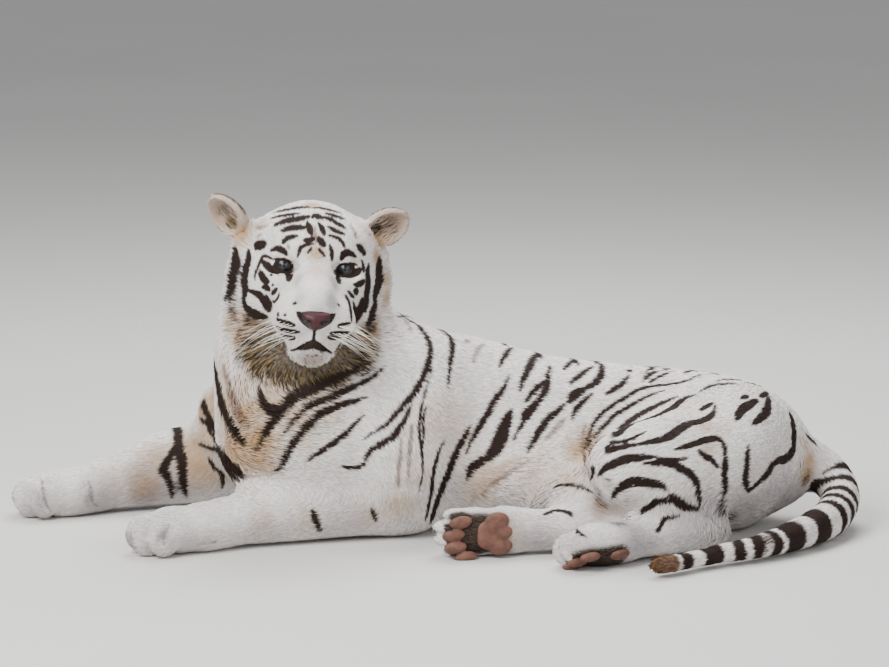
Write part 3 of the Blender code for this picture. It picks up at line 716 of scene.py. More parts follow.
def fine_share(points):
    """How much a point belongs to the head's front, the ears or the paws."""
    return np.maximum.reduce([head_share(points), ear_share(points), paw_share(points)])


# %% Settle and ease
SETTLE_ROUNDS, EASE_ROUNDS, EASE_FACTOR = 4, 18, 0.6
LEAST_EASE = 0.08  # of the fine places

points = flesh_form().settle(read_points(skin), 0, SETTLE_ROUNDS)
write_points(skin, points)
plain = skin.vertex_groups.new(name="plain")
for index, share in enumerate(fine_share(points)):
    plain.add([index], (1 - LEAST_EASE) * (1 - share) + LEAST_EASE, "REPLACE")
ease(skin, EASE_ROUNDS, EASE_FACTOR, "plain")
skin.vertex_groups.clear()
print("settled and eased")


# %% Finer where it matters
def divide(thing, chosen):
    """Halves the edges between chosen points."""
    shape = bmesh.new()
    shape.from_mesh(thing.data)
    shape.verts.ensure_lookup_table()
    edges = [edge for edge in shape.edges if chosen[edge.verts[0].index] and chosen[edge.verts[1].index]]
    bmesh.ops.subdivide_edges(shape, edges=edges, cuts=1, use_grid_fill=True)
    shape.to_mesh(thing.data)
    shape.free()


def feature_share(points):
    """How much a point belongs to an eye, the nose or the mouth."""
    spot = in_head(points)
    places = [((side * EYE_SIDE, 0.018, 0), 0.030, 0.036) for side in (-1, 1)]
    places.append(((0, 0.120, -0.100), 0.055, 0.062))
    return np.maximum.reduce([near(spot, *place) for place in places])


for how_much in (fine_share, feature_share):
    divide(skin, how_much(read_points(skin)) > 0.5)
print("skin points:", len(skin.data.vertices))

# %% [markdown]
# ### Lids, nose and lips
#
# A lid is a thin fold that wraps the eyeball and leaves an almond open, its inner corner lower than the
# outer one. The upper lip parts below the nose, runs down a groove and then back on both sides under the
# whiskers.

# %% The face's fine forms
LID_RADII = (0.0226, 0.0220, 0.0210)
ALMOND = ((EYE_SIDE - 0.0005, 0.0230, -0.0012), (0.0142, 0.0120, 0.0037), (0, -14, -12))
TEAR = ((EYE_SIDE - 0.0165, 0.0270, -0.0062), (0.0085, 0.0080, 0.0032), (0, -30, 0))
UPPER_FOLD = ((EYE_SIDE + 0.001, 0.0110, 0.0170), (0.0240, 0.0115, 0.0050), (0, -6, -14))
LOWER_FOLD = ((EYE_SIDE + 0.001, 0.0115, -0.0155), (0.0220, 0.0100, 0.0046), (0, -12, -14))


def add_face(form):
    """Lids round the eyes, each with its almond opening."""
    for side in (-1, 1):
        ball = (side * EYE_SIDE, EYE_AHEAD, 0)
        form.mass(ball, LID_RADII, frame=head_matrix(), blend=0.007)
    add_pairs(form, [UPPER_FOLD, LOWER_FOLD], 0.008)
    add_pairs(form, [ALMOND, TEAR], 0.002, hollow=True)


GROOVE_LINE = [(0, 0.15, -0.098), (0, 0.15, -0.112), (0, 0.14, -0.125)]
LIP_LINE = [
    (0, 0.14, -0.123), (0.010, 0.138, -0.1275), (0.021, 0.130, -0.136), (0.031, 0.115, -0.1450),
    (0.039, 0.098, -0.1510),
]
# Each crease: depth, half width, and its line in the head's frame.
CREASES = [(0.0050, 0.0022, GROOVE_LINE), (0.0065, 0.0030, LIP_LINE)]


def line_distance(points, line):
    """The distance to the nearest point of a line, and the share of the way along it."""
    line = np.array(line, float)
    best = np.full(len(points), 9.0)
    along = np.zeros(len(points))
    for i in range(len(line) - 1):
        step = line[i + 1] - line[i]
        t = np.clip((points - line[i]) @ step / max(step @ step, 1e-12), 0, 1)
        far = np.linalg.norm(points - line[i] - t[:, None] * step, axis=1)
        closer = far < best
        best[closer] = far[closer]
        along[closer] = (i + t[closer]) / (len(line) - 1)
    return best, along


def press_creases(points, normals):
    """Presses the lips' line and the groove above it into the skin."""
    spot = in_head(points)
    spot[:, 0] = np.abs(spot[:, 0])
    flattened = (1, 0.35, 1)
    for depth, half, line in CREASES:
        line = np.array(smooth_stations(line, 4))
        far = line_distance(spot * flattened, line * flattened)[0]
        ahead = spot[:, 1] > 0.03
        points = points - normals * (depth * np.exp(-np.square(far / half)) * ahead)[:, None]
    return points


# %% Draw the skin in by the coat's depth
BODY_DEPTH, FINE_DEPTH = 0.0060, 0.0028
FACE_ROUNDS = 6
FLOOR_CLEARANCE = 0.0012


def keep_off_floor(thing, points):
    points[:, 2] = np.maximum(points[:, 2], FLOOR_CLEARANCE)
    write_points(thing, points)


faced = flesh_form()
add_face(faced)
points = read_points(skin)
share = fine_share(points)
drawn = points - read_normals(skin) * BODY_DEPTH
fine = share > 0
depths = FINE_DEPTH * share[fine] + BODY_DEPTH * (1 - share[fine])
settled = faced.settle(points[fine], depths, FACE_ROUNDS)
drawn[fine] += (settled - drawn[fine]) * share[fine, None]
write_points(skin, drawn)
drawn = press_creases(drawn, read_normals(skin))
keep_off_floor(skin, drawn)
skin.data.shade_smooth()
print("drawn in; lowest point:", round(drawn[:, 2].min(), 4))

# %% [markdown]
# ## The markings
#
# A tiger's stripes are drawn as short strokes on charts of its body: the head as seen from the front,
# from above and from behind, the trunk and the forelegs unrolled round their own axes, the breast from
# the side, the tail as rings along its length. Each stroke is thrown onto the skin, where it has a width
# that thins towards both ends. Any point near it then knows how deep it lies in the stripe, so skin and
# tufts can share the same markings. The far side has the near side's stripes with small changes, as the
# two sides of one tiger are never quite alike, and its thigh has a few stripes of its own.

# %% Stripes of the head
# Centimetres in the head's frame, to the tiger's right and up, after the width in millimetres.
HEAD_STRIPES = [
    # crown, right half from the top down
    (14, (8.2, 7.1), (7.3, 7.6), (6.1, 8.1), (4.7, 8.5), (3.3, 8.85), (2.05, 9.2), (1.3, 9.5)),
    (13, (6.9, 6.4), (5.9, 6.8), (5.1, 7.1), (4.2, 7.3), (3.2, 7.4), (2, 7.6)),
    (11, (6.4, 4.3), (6.2, 4.8), (5.6, 5.3), (4.6, 5.7), (3.7, 6)),
    (10, (1.9, 8.5), (1.5, 7.8), (1.3, 7), (1, 6.3)), (11, (2.4, 5.4), (1.5, 5.4), (0.6, 5.9)),
    (6, (0.6, 4.9), (1.8, 4.6), (2.7, 4.3), (3.2, 3.8), (3.4, 2.9), (3.7, 2)),
    (4, (0.9, 4.2), (1.3, 3.7), (1.7, 3)),
    # crown, left half
    (14, (0.9, 9.3), (0.2, 9.5), (-0.5, 9.4), (-1.2, 9.2)),
    (11, (-0.6, 9.4), (-1.7, 9.3), (-2.7, 9.1), (-3.7, 8.6), (-4.7, 8.1), (-5.8, 7.5)),
    (10, (-2.2, 7.9), (-3.2, 7.5), (-4.2, 7.1), (-5.6, 6.6)),
    (8, (-2.3, 6.4), (-3.5, 6.2), (-4.5, 5.8), (-5.3, 5), (-5.7, 4.2)),
    (9, (-0.3, 8.5), (-0.9, 7.8), (-1.2, 7.2), (-1.5, 6.4)), (12, (-0.4, 6.1), (-0.9, 5.3), (-1.5, 4.6)),
    (5, (-0.4, 4.1), (-1, 3.5), (-1.8, 2.6)), (6, (-2.6, 4.9), (-2.9, 4), (-3.1, 2.9), (-3.2, 1.8)),
    # brows and temples
    (17, (11.7, 2.7), (10.8, 3.1), (9.8, 3.6)),
    (11, (8.8, 2.6), (8.1, 3), (7.4, 3.3), (6.7, 3.2), (6.1, 2.9), (5.7, 2.3)),
    (14, (-8.3, 4.6), (-9.1, 3.8), (-9.9, 2.8)),
    (12, (-5, 2), (-5.4, 3.1), (-6.2, 3.5), (-7.1, 3.2), (-8.1, 2.6)),
    # round the right eye and down its cheek
    (6, (4.7, 0.7), (5.3, 1.15), (6.3, 1.35), (7.3, 1.2), (8.3, 1)),
    (5, (7.6, -0.1), (6.9, -0.5), (6.1, -0.75), (5.2, -0.7)),
    (12, (4.9, 0.1), (4.8, -0.8), (5, -1.5), (5.2, -2.1)),
    (6, (8, 1.1), (9, 1.3), (10, 1.3), (10.5, 0.4), (11, -1), (11.4, -2.4), (11.3, -3.4)),
    (12, (10.4, 0.5), (9.7, 0.1), (9, -0.4), (8.3, -1), (7.7, -1.3), (6.9, -1.3)),
    (13, (10.6, -1.5), (10.2, -2.3), (9.7, -2.8), (8.8, -3.1)), (10, (10, -4.4), (9.2, -4.2), (8.5, -4.4)),
    (8, (8.3, -5.2), (7.8, -4.4), (7.3, -3.8)), (4, (8.6, -1.7), (8.3, -1.8)), (4, (8.3, -3.3), (8, -3.4)),
    (6, (6.9, -4.4), (7.1, -5.4), (7.5, -6.2), (7.9, -7)), (15, (9.1, -6), (8.8, -7.2), (8.3, -8.9)),
    (12, (12.9, -5.6), (11.2, -5.8), (10.3, -6.1), (9.7, -6.8), (9.1, -8), (8.7, -9.2)),
    (23, (12.8, 1.5), (12.7, -0.4), (13.1, -2.2), (13.3, -3.8), (13.1, -5.2), (13.1, -6.8), (13.3, -8.2)),
    (16, (13.3, -7.6), (12.7, -9.1), (11.6, -9.8), (10.2, -10.1), (8.6, -10.3)),
    (30, (15.1, 1.4), (15, -0.9), (14.9, -2.4), (15.2, -4), (15.3, -5.6), (15.4, -7), (16, -9)),
    (28, (-13.4, 1.4), (-13.2, -0.9), (-13.2, -2.3), (-12.9, -3.7), (-12.6, -5.1), (-12.6, -6.6)),
    (22, (-12.9, -6), (-12.3, -8.4), (-12, -9.8), (-11.2, -10.6)),
    # round the left eye and down its cheek
    (6, (-4.4, -0.3), (-4.8, 0.6), (-5.4, 1.1), (-6.4, 1.25), (-7.5, 1.2), (-8.5, 0.9)),
    (5, (-4.8, -0.6), (-5.8, -0.8), (-6.8, -0.7), (-7.6, -0.2)), (12, (-4.5, -0.1), (-4.4, -1), (-4.6, -1.9)),
    (12, (-6.2, -1.3), (-7.2, -0.9), (-8, -0.6), (-8.7, -0.1), (-9.1, 0.3)),
    (7, (-9.1, 2), (-9.6, 0.8), (-9.7, -0.5)), (10, (-7.6, -2.4), (-8.6, -2.5), (-9.5, -2.2), (-10, -1.9)),
    (12, (-7.8, -3.6), (-8.7, -3.6)), (6, (-6.4, -3.3), (-7.1, -4), (-7.9, -4.7)),
    (9, (-5.9, -3.9), (-6.5, -4.9), (-6.9, -5.8), (-7, -7), (-7.1, -8.4)),
    (7, (-7.6, -5.4), (-7.9, -6.4), (-8.3, -7.4), (-8.4, -8.5)),
    (15, (-9.7, -5.3), (-9.6, -7.2), (-9.2, -8.8), (-8.7, -10.2)),
    (15, (-10.9, 1), (-10.6, -0.6), (-10.8, -2), (-10.7, -3.6), (-10.6, -4.8), (-10.7, -6.4), (-10.6, -8.2)),
    # muzzle and mouth
    (4, (0, -10), (0, -11), (0, -12.2), (0, -13.4)), (7, (-0.6, -12.9), (0, -12.8), (0.6, -12.9)),
    (10, (3, -14.6), (1.4, -13.75), (0, -13.3), (-1.4, -13.75), (-2.9, -14.6)),
    (6, (4.25, -5.3), (3.95, -5.4)), (5, (7.2, -7.6), (7, -8)), (4, (6, -7.6), (5.8, -7.6)),
    (5, (-4.3, -5.1), (-4.5, -5.3)),
]
# Seen from above: centimetres to the tiger's right and ahead.
CROWN_STRIPES = [
    (13, (8.2, -8.4), (6.1, -7.8), (4.2, -7.3), (2.4, -6.7), (1.2, -6.4)),
    (11, (8.8, -5.8), (7.2, -5.4), (5.6, -4.9), (3.1, -4.2)),
    (11, (0.9, -6), (-0.9, -6.2), (-2.9, -6.3), (-5, -6.9)), (10, (-1.6, -4.2), (-4, -4.5), (-5.7, -4.8)),
]
# The dotted rows that the whiskers grow from.
WHISKER_ROWS = [
    (9, (7.4, -8.7), (6.1, -9), (4.9, -9.2), (3.9, -9.4)),
    (12, (7.4, -10.3), (5.9, -10.7), (4.5, -10.8), (2.9, -10.7)),
    (11, (6.3, -12.2), (5, -12.3), (3.6, -12.2)), (9, (-4.4, -9), (-5.5, -8.9), (-6.9, -8.6)),
    (11, (-3.2, -10.6), (-4.1, -10.6), (-5.4, -10.6), (-7.1, -10.5)),
    (10, (-2.8, -11.4), (-4, -11.7), (-5.8, -12)),
]
# Brown rather than black.
HEAD_BROWN = [
    (8, (11.5, 5.9), (10.3, 6.4), (9.4, 7.1)), (5, (11.4, 4.5), (10.5, 5.3)),
    (5, (-6.7, 8.1), (-7.5, 7.2), (-7.8, 6.4), (-7.9, 5.8)), (3, (0.4, 8), (0.3, 6.4), (0.2, 4.8)),
    (4, (5.5, 4.4), (5.4, 3.4)), (12, (15.4, -9.8), (14.5, -11.2), (13.4, -12.7)),
    (12, (13, -10.8), (11.6, -11.4), (9.8, -11.6)),
]

# %% Stripes of the trunk and the haunch
# Centimetres along the body and degrees round its axis, from the spine down the near side, after the width.
TRUNK_STRIPES = [
    (10, (-9.5, -8), (-7.5, 4), (-5.6, 10), (-4.3, 18), (-3.2, 28), (-2.9, 38), (-3.4, 48), (-4.6, 56),
     (-6, 63), (-7.7, 68), (-9.3, 73), (-11.3, 79), (-13.2, 82), (-16, 87)),
    (9, (-1.6, -6), (0, 10), (1.2, 20), (1.5, 30), (1.2, 40), (1, 48), (0.6, 58)),
    (8, (13.8, -2), (12.6, 14), (11.8, 24), (10.9, 34)),
    (12, (18.9, -10), (18.6, 2), (18, 12), (17.2, 24), (16.4, 34), (15.6, 42), (14.9, 51)),
    (11, (21.4, 17), (20.9, 28), (20.7, 36), (20.3, 45), (18.8, 55), (16.6, 66), (15.2, 73), (13.7, 82)),
    (9, (20.2, 38), (19, 43), (17.6, 50), (16, 58)), (5, (18.4, 57), (16.8, 61), (15.5, 66), (15.6, 71)),
    (10, (12.9, 39), (12, 48), (11, 54), (9.8, 60), (9, 66), (7.6, 73), (6.4, 79), (5.2, 86), (4.3, 93)),
    (22, (13.3, 64), (12, 74), (11.2, 82), (9.8, 90), (8, 96)),
    (15, (9.4, 92), (7.2, 97), (5.4, 102), (4.6, 109)),
    (15, (5.2, 76), (3.8, 84), (2.6, 90), (1.6, 97), (0.6, 104), (-0.4, 111), (-1.4, 119), (-2.2, 127),
     (-3, 135)),
    (6, (0.3, 84), (-1, 90), (-1.8, 97), (-2.4, 104), (-2.6, 112), (-3.2, 121), (-3.8, 131)),
    (3, (-2.4, 48), (-3.4, 58), (-4.2, 66), (-4.8, 74), (-5, 82), (-4.6, 90), (-4.3, 97), (-4.5, 104),
     (-5.1, 112)),
    (2, (-3.4, 68), (-4.2, 75), (-4.1, 83), (-4.4, 90)), (8, (26.3, -10), (25.6, 5), (24.8, 14), (23.9, 22)),
    (9, (30.2, 9), (28.6, 18), (27.4, 26), (26, 33), (25.2, 39)),
    (12, (31.5, -4), (31.8, 12), (31.4, 24), (30.4, 33), (28.6, 39), (27, 44)),
    (16, (28.4, 40), (27, 44), (25.6, 49), (24.7, 54)),
    (9, (29.6, 44), (28.2, 50), (27, 55), (26, 60), (25.3, 67)),
    (12, (24.1, 55), (22.6, 61), (21, 66), (19.8, 71), (18.6, 77), (17.4, 83), (16.3, 88)),
    (10, (37.1, 19), (35.8, 31), (34, 38), (32.3, 44)),
    (6, (54.2, 3), (51.8, 11), (49.8, 21), (47.8, 27), (45.2, 29.5), (42, 31), (39.3, 35), (37.3, 41),
     (35.3, 47.5), (33.2, 54), (31.4, 60), (30, 66), (28.7, 76), (28.2, 82), (27.8, 88), (27.8, 93)),
    (6, (44.4, 36), (41.8, 40), (39, 46.5), (36.3, 54), (34, 60.5), (32.6, 66), (31.2, 71), (29.6, 78),
     (28, 85)),
    (9, (43.3, 6), (41.5, 15), (40.3, 25)), (6, (46, 6), (43, 20), (41, 28)),
    (7, (50.2, -4), (49.2, 4), (48.2, 10)), (7, (42.6, -3), (41.8, 4), (41, 8)), (6, (45.6, -5), (45, 2)),
    (5, (37.6, 8), (37.3, 14)),
    (17, (46.6, 46), (44.6, 49), (42.8, 52), (39.7, 58.5), (37.6, 63.5), (35.8, 69), (34.2, 74), (31.6, 79),
     (30.2, 83), (29.2, 88), (28.6, 92)),
    (19, (50, 45), (47.6, 49.5), (45.6, 57), (43.4, 62), (41.2, 66), (38.8, 69), (37, 71), (34.6, 75),
     (32, 80), (29.8, 85)),
    (9, (53.2, 52), (51.6, 57), (50.4, 61)),
    (7, (39.2, 75), (36, 78), (32.6, 79.5), (30.4, 81.5), (28.6, 87)),
    (15, (53.7, 54), (53, 61), (51.8, 65), (50.1, 68), (48.1, 70), (46, 73), (44, 76), (42, 77.5),
     (39.6, 78.5), (37.2, 79.5)),
    (12, (38.5, 79), (35.2, 80), (33, 81), (31.3, 82), (30.1, 84), (28.9, 88)),
    (6, (47.4, 83), (45, 83.5), (42.6, 83.5), (40, 82.5)),
    (13, (40.8, 82.6), (37.9, 83), (35.2, 83.5), (33, 85), (31.3, 86.5), (29.9, 89.5)),
    (12, (38.4, 84.5), (41, 84.5), (43.4, 84.5), (45.8, 86), (47.8, 88), (49, 91), (49.5, 95), (49.9, 99)),
    (15, (43.2, 92.2), (41.4, 90.5), (39.4, 90), (37, 89.6), (35.1, 90.5), (33.6, 92.5), (32.5, 95.6)),
    (12, (44.2, 96.8), (42.7, 95.8), (41.2, 96), (39.5, 98), (38, 100)),
    (14, (43.4, 93.6), (44.8, 95.5), (46, 97.5), (47.6, 99), (49.6, 99.7)),
    (6, (46, 101), (44, 101.5), (42.8, 101.5), (41.8, 103.5), (40.8, 104)),
    (11, (44.6, 80.4), (47.5, 79), (49.8, 77), (52.3, 74.8), (53.8, 74.5), (54.8, 77.5), (54.9, 82)),
    (12, (54.7, 78), (54.8, 83), (54.6, 88), (54.8, 93), (53.6, 99)),
    (10, (49.3, 80), (50.5, 81.5), (52, 82.5), (53.6, 85.2)),
    (12, (59.6, 74), (59.2, 84), (59, 90), (60, 96)),
    (14, (59.7, 96), (62, 91), (63.6, 87.5), (64.7, 83), (65.6, 80.5)),
    (16, (64.7, 83), (66, 80), (67.6, 79), (69.3, 72), (69.7, 60), (69.8, 50), (69.6, 38), (69.2, 26)),
    (14, (65, 26), (64.5, 40), (63.7, 50), (62.3, 57), (60.8, 62)), (9, (64.9, 16), (64.2, 25), (63, 34)),
    (16, (62.4, 38), (60.4, 47), (58.8, 54), (57.4, 63)), (7, (58.8, 22), (56, 27), (53.2, 33), (51, 41)),
    (6, (60, 9), (56.6, 18), (54.4, 23)), (6, (63.6, 6), (62, 10), (60.6, 14)), (8, (60.6, 36), (59, 43)),
    (5, (54.6, -6), (53.6, 0)), (7, (75.4, 18), (74, 30), (72.6, 40)),
    (5, (21.5, 100.5), (23.6, 98.4), (26.5, 97.6), (29.4, 97)),
]
TRUNK_BROWN = [
    (5, (16.6, 92), (13.8, 98), (11.2, 104), (9, 110), (7.4, 118)), (6, (-8.8, 4), (-7.4, 12), (-6.7, 21)),
    (8, (-1.8, 3), (-0.6, 12), (0.4, 20)), (5, (4.9, 8), (4.2, 19)),
    (6, (8.1, 8), (7, 18), (6.3, 26), (5.5, 37)), (5, (-6.4, 78), (-6.8, 90), (-7.2, 104)),
    (5, (-8.4, 84), (-8.9, 98), (-9.2, 110)), (8, (24.2, 65), (22.8, 71), (21.6, 75), (20, 80)),
    (5, (41, 9), (40.4, 20), (39.9, 28)), (5, (37.6, 10), (37.2, 14)),
    # The thin stroke along the flank's fold, from (28.2, 68), is painted shade in that fold.
    (3, (28.2, 68), (27.6, 76), (27.4, 84), (28.4, 92)), (8, (10.8, 80), (9.6, 88), (8.6, 92)),
]

# %% Stripes of the breast, the forelegs and the tail
# Centimetres along and above the floor, thrown from the near side, after the width. They mark the breast and
# the near shank.
SIDE_STRIPES = [
    (10, (-6.4, 28.4), (-7.6, 26), (-8.8, 24), (-10, 22.4), (-12, 21.2), (-14, 20), (-15.2, 18.6),
     (-15.8, 17.2)),
    (6, (-15.2, 18.2), (-15.9, 16.8), (-17, 16.2), (-18.4, 16.2), (-20.4, 16.5)),
    (23, (-46.8, 37), (-45.8, 33), (-44.5, 28.5), (-43, 25.5), (-41, 22.5), (-38.8, 20.4)),
    (16, (-36.2, 32), (-35.6, 29.6), (-34.6, 28.2), (-33, 27.8), (-31, 28.8), (-29, 30.6)),
    (18, (-16, 36), (-18.5, 34.8), (-21.7, 33.6), (-25, 32.4), (-27.5, 31.4), (-29.5, 30.3), (-31, 29),
     (-32, 27.8), (-33.4, 25.8), (-34.8, 23.6), (-35.8, 21.6), (-36.8, 19.6)),
    (10, (-11.6, 35.4), (-14, 33.6), (-16.6, 32.5), (-19.8, 31.3), (-22.5, 30.2), (-25, 29.4), (-27, 28.4),
     (-28.7, 26.8), (-30.3, 25), (-31.7, 23)),
    (12, (-15.4, 29.9), (-17.2, 29.4), (-19.5, 29), (-21.9, 28.2), (-24.1, 27.2), (-25.7, 26), (-27.7, 24),
     (-29.4, 21.6), (-30.6, 19.8), (-31.4, 18), (-32.4, 16.2), (-33.6, 15.6)),
    (9, (-15.8, 26.5), (-17.6, 25), (-19.2, 23.3), (-21.2, 21.8), (-23.8, 20), (-25.4, 19), (-27, 17.7)),
    # This stroke reaches the armpit, where its dark is painted shade as well as stripe.
    (16, (-50.2, 20), (-47.5, 19.2), (-45.2, 17.4), (-43.8, 15), (-42.2, 13.4), (-40.4, 12.4)),
    (8, (-50.4, 14.6), (-47.4, 14.4), (-45, 13.4), (-43.4, 12.4)),
    (7, (19.2, 8), (21.5, 8.6), (24.1, 8.3), (27.2, 7)),
    (14, (-51.6, 30.6), (-50.6, 26.4), (-48.8, 22.6), (-47, 19.8), (-45.4, 17.4)),
    (26, (-46, 18.6), (-43.6, 16.6), (-41.2, 15), (-39.6, 14)),
    (14, (-48.4, 18.6), (-45.6, 15.6), (-43.2, 14), (-41, 13.2)),
]
SIDE_BROWN = [
    (20, (-44, 35), (-42.6, 31.5), (-41.2, 28.5), (-39.6, 25.6), (-38.4, 24)),
]
# Painted shade in the grooves between the toes and under the forepaws' wrists, also pressed into the skin.
TOE_LINES = [
    (2, (-82.4, 8), (-81.7, 6.6), (-81.1, 3.9), (-80.2, 2.2)),
    (2, (-72.8, 7.6), (-72.2, 6.3), (-71.8, 3.1), (-70.8, 2)),
    (2, (-53.6, 7), (-54, 6), (-54.8, 4.1), (-54.6, 3)), (1, (-60.4, 5.6), (-60.8, 3.6), (-60.2, 2)),
    (3, (-48.6, 2.2), (-46.6, 2.2), (-44.8, 2.6)),
]
# Centimetres along and degrees round each leg's own axis, from its top down the near side.
FORELEG_RIGHT_STRIPES = [
    (17, (-56.4, -70), (-56, -20), (-55, 10), (-54.6, 40), (-54.1, 62), (-53.8, 90), (-53.6, 115),
     (-53.2, 145)),
    (15, (-55.8, 40), (-56.4, 60), (-57.4, 75), (-57.6, 85), (-57, 95), (-56.4, 112), (-56, 145)),
    (9, (-48.4, 70), (-47, 86), (-45.6, 98), (-45.6, 125)), (9, (-50, -80), (-49.4, -40), (-49.6, -5)),
    (8, (-63, -90), (-62.6, -50), (-62.8, -20)),
]
FORELEG_LEFT_STRIPES = [
    (10, (-26.2, 84), (-25.4, 105), (-24.6, 130)), (7, (-14.6, 92), (-14, 105), (-13.6, 118)),
    (10, (-30, -120), (-29, -80), (-29.6, -45)), (10, (-20, -120), (-19, -80), (-19.8, -50)),
]
# Distance from the tail's base and width of each dark ring, in centimetres, and where its brown tip begins,
# in metres.
TAIL_RINGS = [
    (2, 1.2), (12.6, 2.8), (17, 2.2), (22, 2.6), (26.2, 2.3), (30.6, 2.8), (38.4, 5), (47, 5), (51.9, 2.4),
    (56, 2.4), (60.2, 2.8), (66.5, 4.8), (73.6, 2.8),
]
TAIL_BROWN_FROM = 0.751

# %% Stripes out of sight and soft patches
# Centimetres in the head's frame, thrown from behind, after the width.
HEAD_BACK_STRIPES = [
    (11, (-7.5, 8.6), (-3, 10), (2, 10), (7.5, 8.8)), (12, (-9, 5), (-4, 6.9), (2, 6.6), (8.6, 5.4)),
    (12, (-10, 1), (-5, 3.2), (3, 3), (10, 1.2)), (14, (-13, -2), (-12, -6), (-11, -9)),
    (14, (13, -2), (12.2, -6), (11, -9)), (12, (-10, -5), (-4, -3.4), (3, -3.6), (9, -5)),
    (12, (-10, -10), (-4, -8.4), (3, -8.6), (9, -10)),
]
# Of the nape and of the far haunch.
FAR_TRUNK_STRIPES = [
    (12, (-14.6, -60), (-15.6, -30), (-15.6, -6), (-14.8, 14)),
    (12, (50, -66), (44, -76), (37, -84), (31, -92)), (12, (54.6, -72), (49, -84), (42, -92), (35, -100)),
    (11, (58.6, -80), (54, -92), (48, -101), (41, -109)), (10, (62.6, -84), (59, -97), (54, -108)),
]
# Tan bands along the trunk.
TRUNK_TAN = [
    (13, (15.4, 91), (12.6, 96), (10.2, 102), (8.2, 108), (6.6, 116), (5.4, 126)),
    (12, (29, 70), (28.2, 78), (28, 86), (28.6, 93)), (14, (73.6, 60), (73.6, 75), (73.4, 90), (73.2, 104)),
]
# Place in centimetres or degrees, reach in centimetres and strength of each soft patch on each chart.
WARM = {
    "side": [
        (30.6, 9.6, 3.4, 0.5), (12, 4.4, 5, 0.35), (33.6, 10, 3, 0.4), (-41, 19.4, 8, 1), (-37.4, 20, 7, 1),
        (-46, 26, 7, 0.9), (-49, 21, 6, 0.9), (-34.6, 33.6, 5, 0.7), (-24, 27.6, 5, 0.5),
        (-46.6, 21.5, 6, 0.9), (-48.8, 16.4, 5, 0.8), (-35.4, 17.2, 4, 0.8), (-33, 25.4, 4.2, 0.65),
        (-28, 23.6, 5.5, 0.45), (-31, 31.6, 3.6, 0.7), (-40, 31, 5, 0.6), (-33, 30, 5.5, 0.8),
        (-38, 26, 6.5, 0.95), (-30, 27, 5.5, 0.7), (-43, 27, 6, 0.8), (-26, 31, 4, 0.6), (-36, 22, 6.5, 1),
        (-44, 33, 5, 0.5),
    ],
    "head": [
        (9.6, -14.8, 5.6, 1), (-9.2, -15, 5.4, 0.9), (5.6, -18.6, 5, 0.9), (-5.6, -18.6, 5, 0.8),
        (12.6, -12, 3.6, 0.8), (-12.4, -12, 3.6, 0.8), (0.2, 3.4, 2.4, 0.85), (0.3, 6.6, 1.3, 0.6),
        (0, 0.4, 3, 0.45), (0, -16.6, 3, 0.4), (14.2, 4.4, 4, 1), (10.8, 6.6, 2.4, 0.6), (-12.8, 4.4, 4, 1),
        (14.6, -13.4, 4, 0.8), (9.6, -19, 5, 0.9), (-10.6, 6.8, 2.6, 0.6), (-12.6, 1.6, 2.6, 0.9),
        (-14.9, -2.6, 2.4, 0.8), (-14.9, -6.4, 2.8, 0.8), (4, -0.4, 1.2, 0.5), (-7.6, 1.9, 1, 0.5),
        (7.2, 2, 1, 0.5), (13.2, -15.4, 4.2, 0.9), (10, -16.8, 3.6, 0.8), (-11.5, -13.6, 4.2, 0.65),
        (-8.4, -16.6, 3.2, 0.5),
    ],
    "head_top": [
        (0.8, -7.8, 2.2, 0.9),
    ],
    "trunk": [
        (-1, 76, 7, 0.35), (2, 82, 6, 0.35), (27.6, 86, 5, 1), (28.6, 78, 4.2, 0.75), (25, 95, 6, 0.55),
        (18, 100, 8, 0.35), (8.6, 104, 5, 0.6), (7, 112, 5, 0.6), (52.2, 70, 4.6, 0.4), (51.6, 78, 2.6, 0.6),
        (73.2, 82, 3.6, 0.9), (73, 98, 4, 0.9), (72.6, 62, 3.6, 0.5), (47, 60, 6, 0.2),
    ],
    "foreleg_right": [
        (-51.4, 62, 6.5, 0.9), (-49.6, 90, 6, 0.8), (-59, 60, 5.5, 0.6), (-66, 70, 4.5, 0.35),
        (-61.6, 100, 5, 0.7),
    ],
    "foreleg_left": [
        (-9, 98, 5, 0.6), (-6, 70, 5, 0.4), (-27.6, 100, 4, 0.4), (-36, 92, 3.4, 0.45), (-15, 105, 4, 0.35),
    ],
}
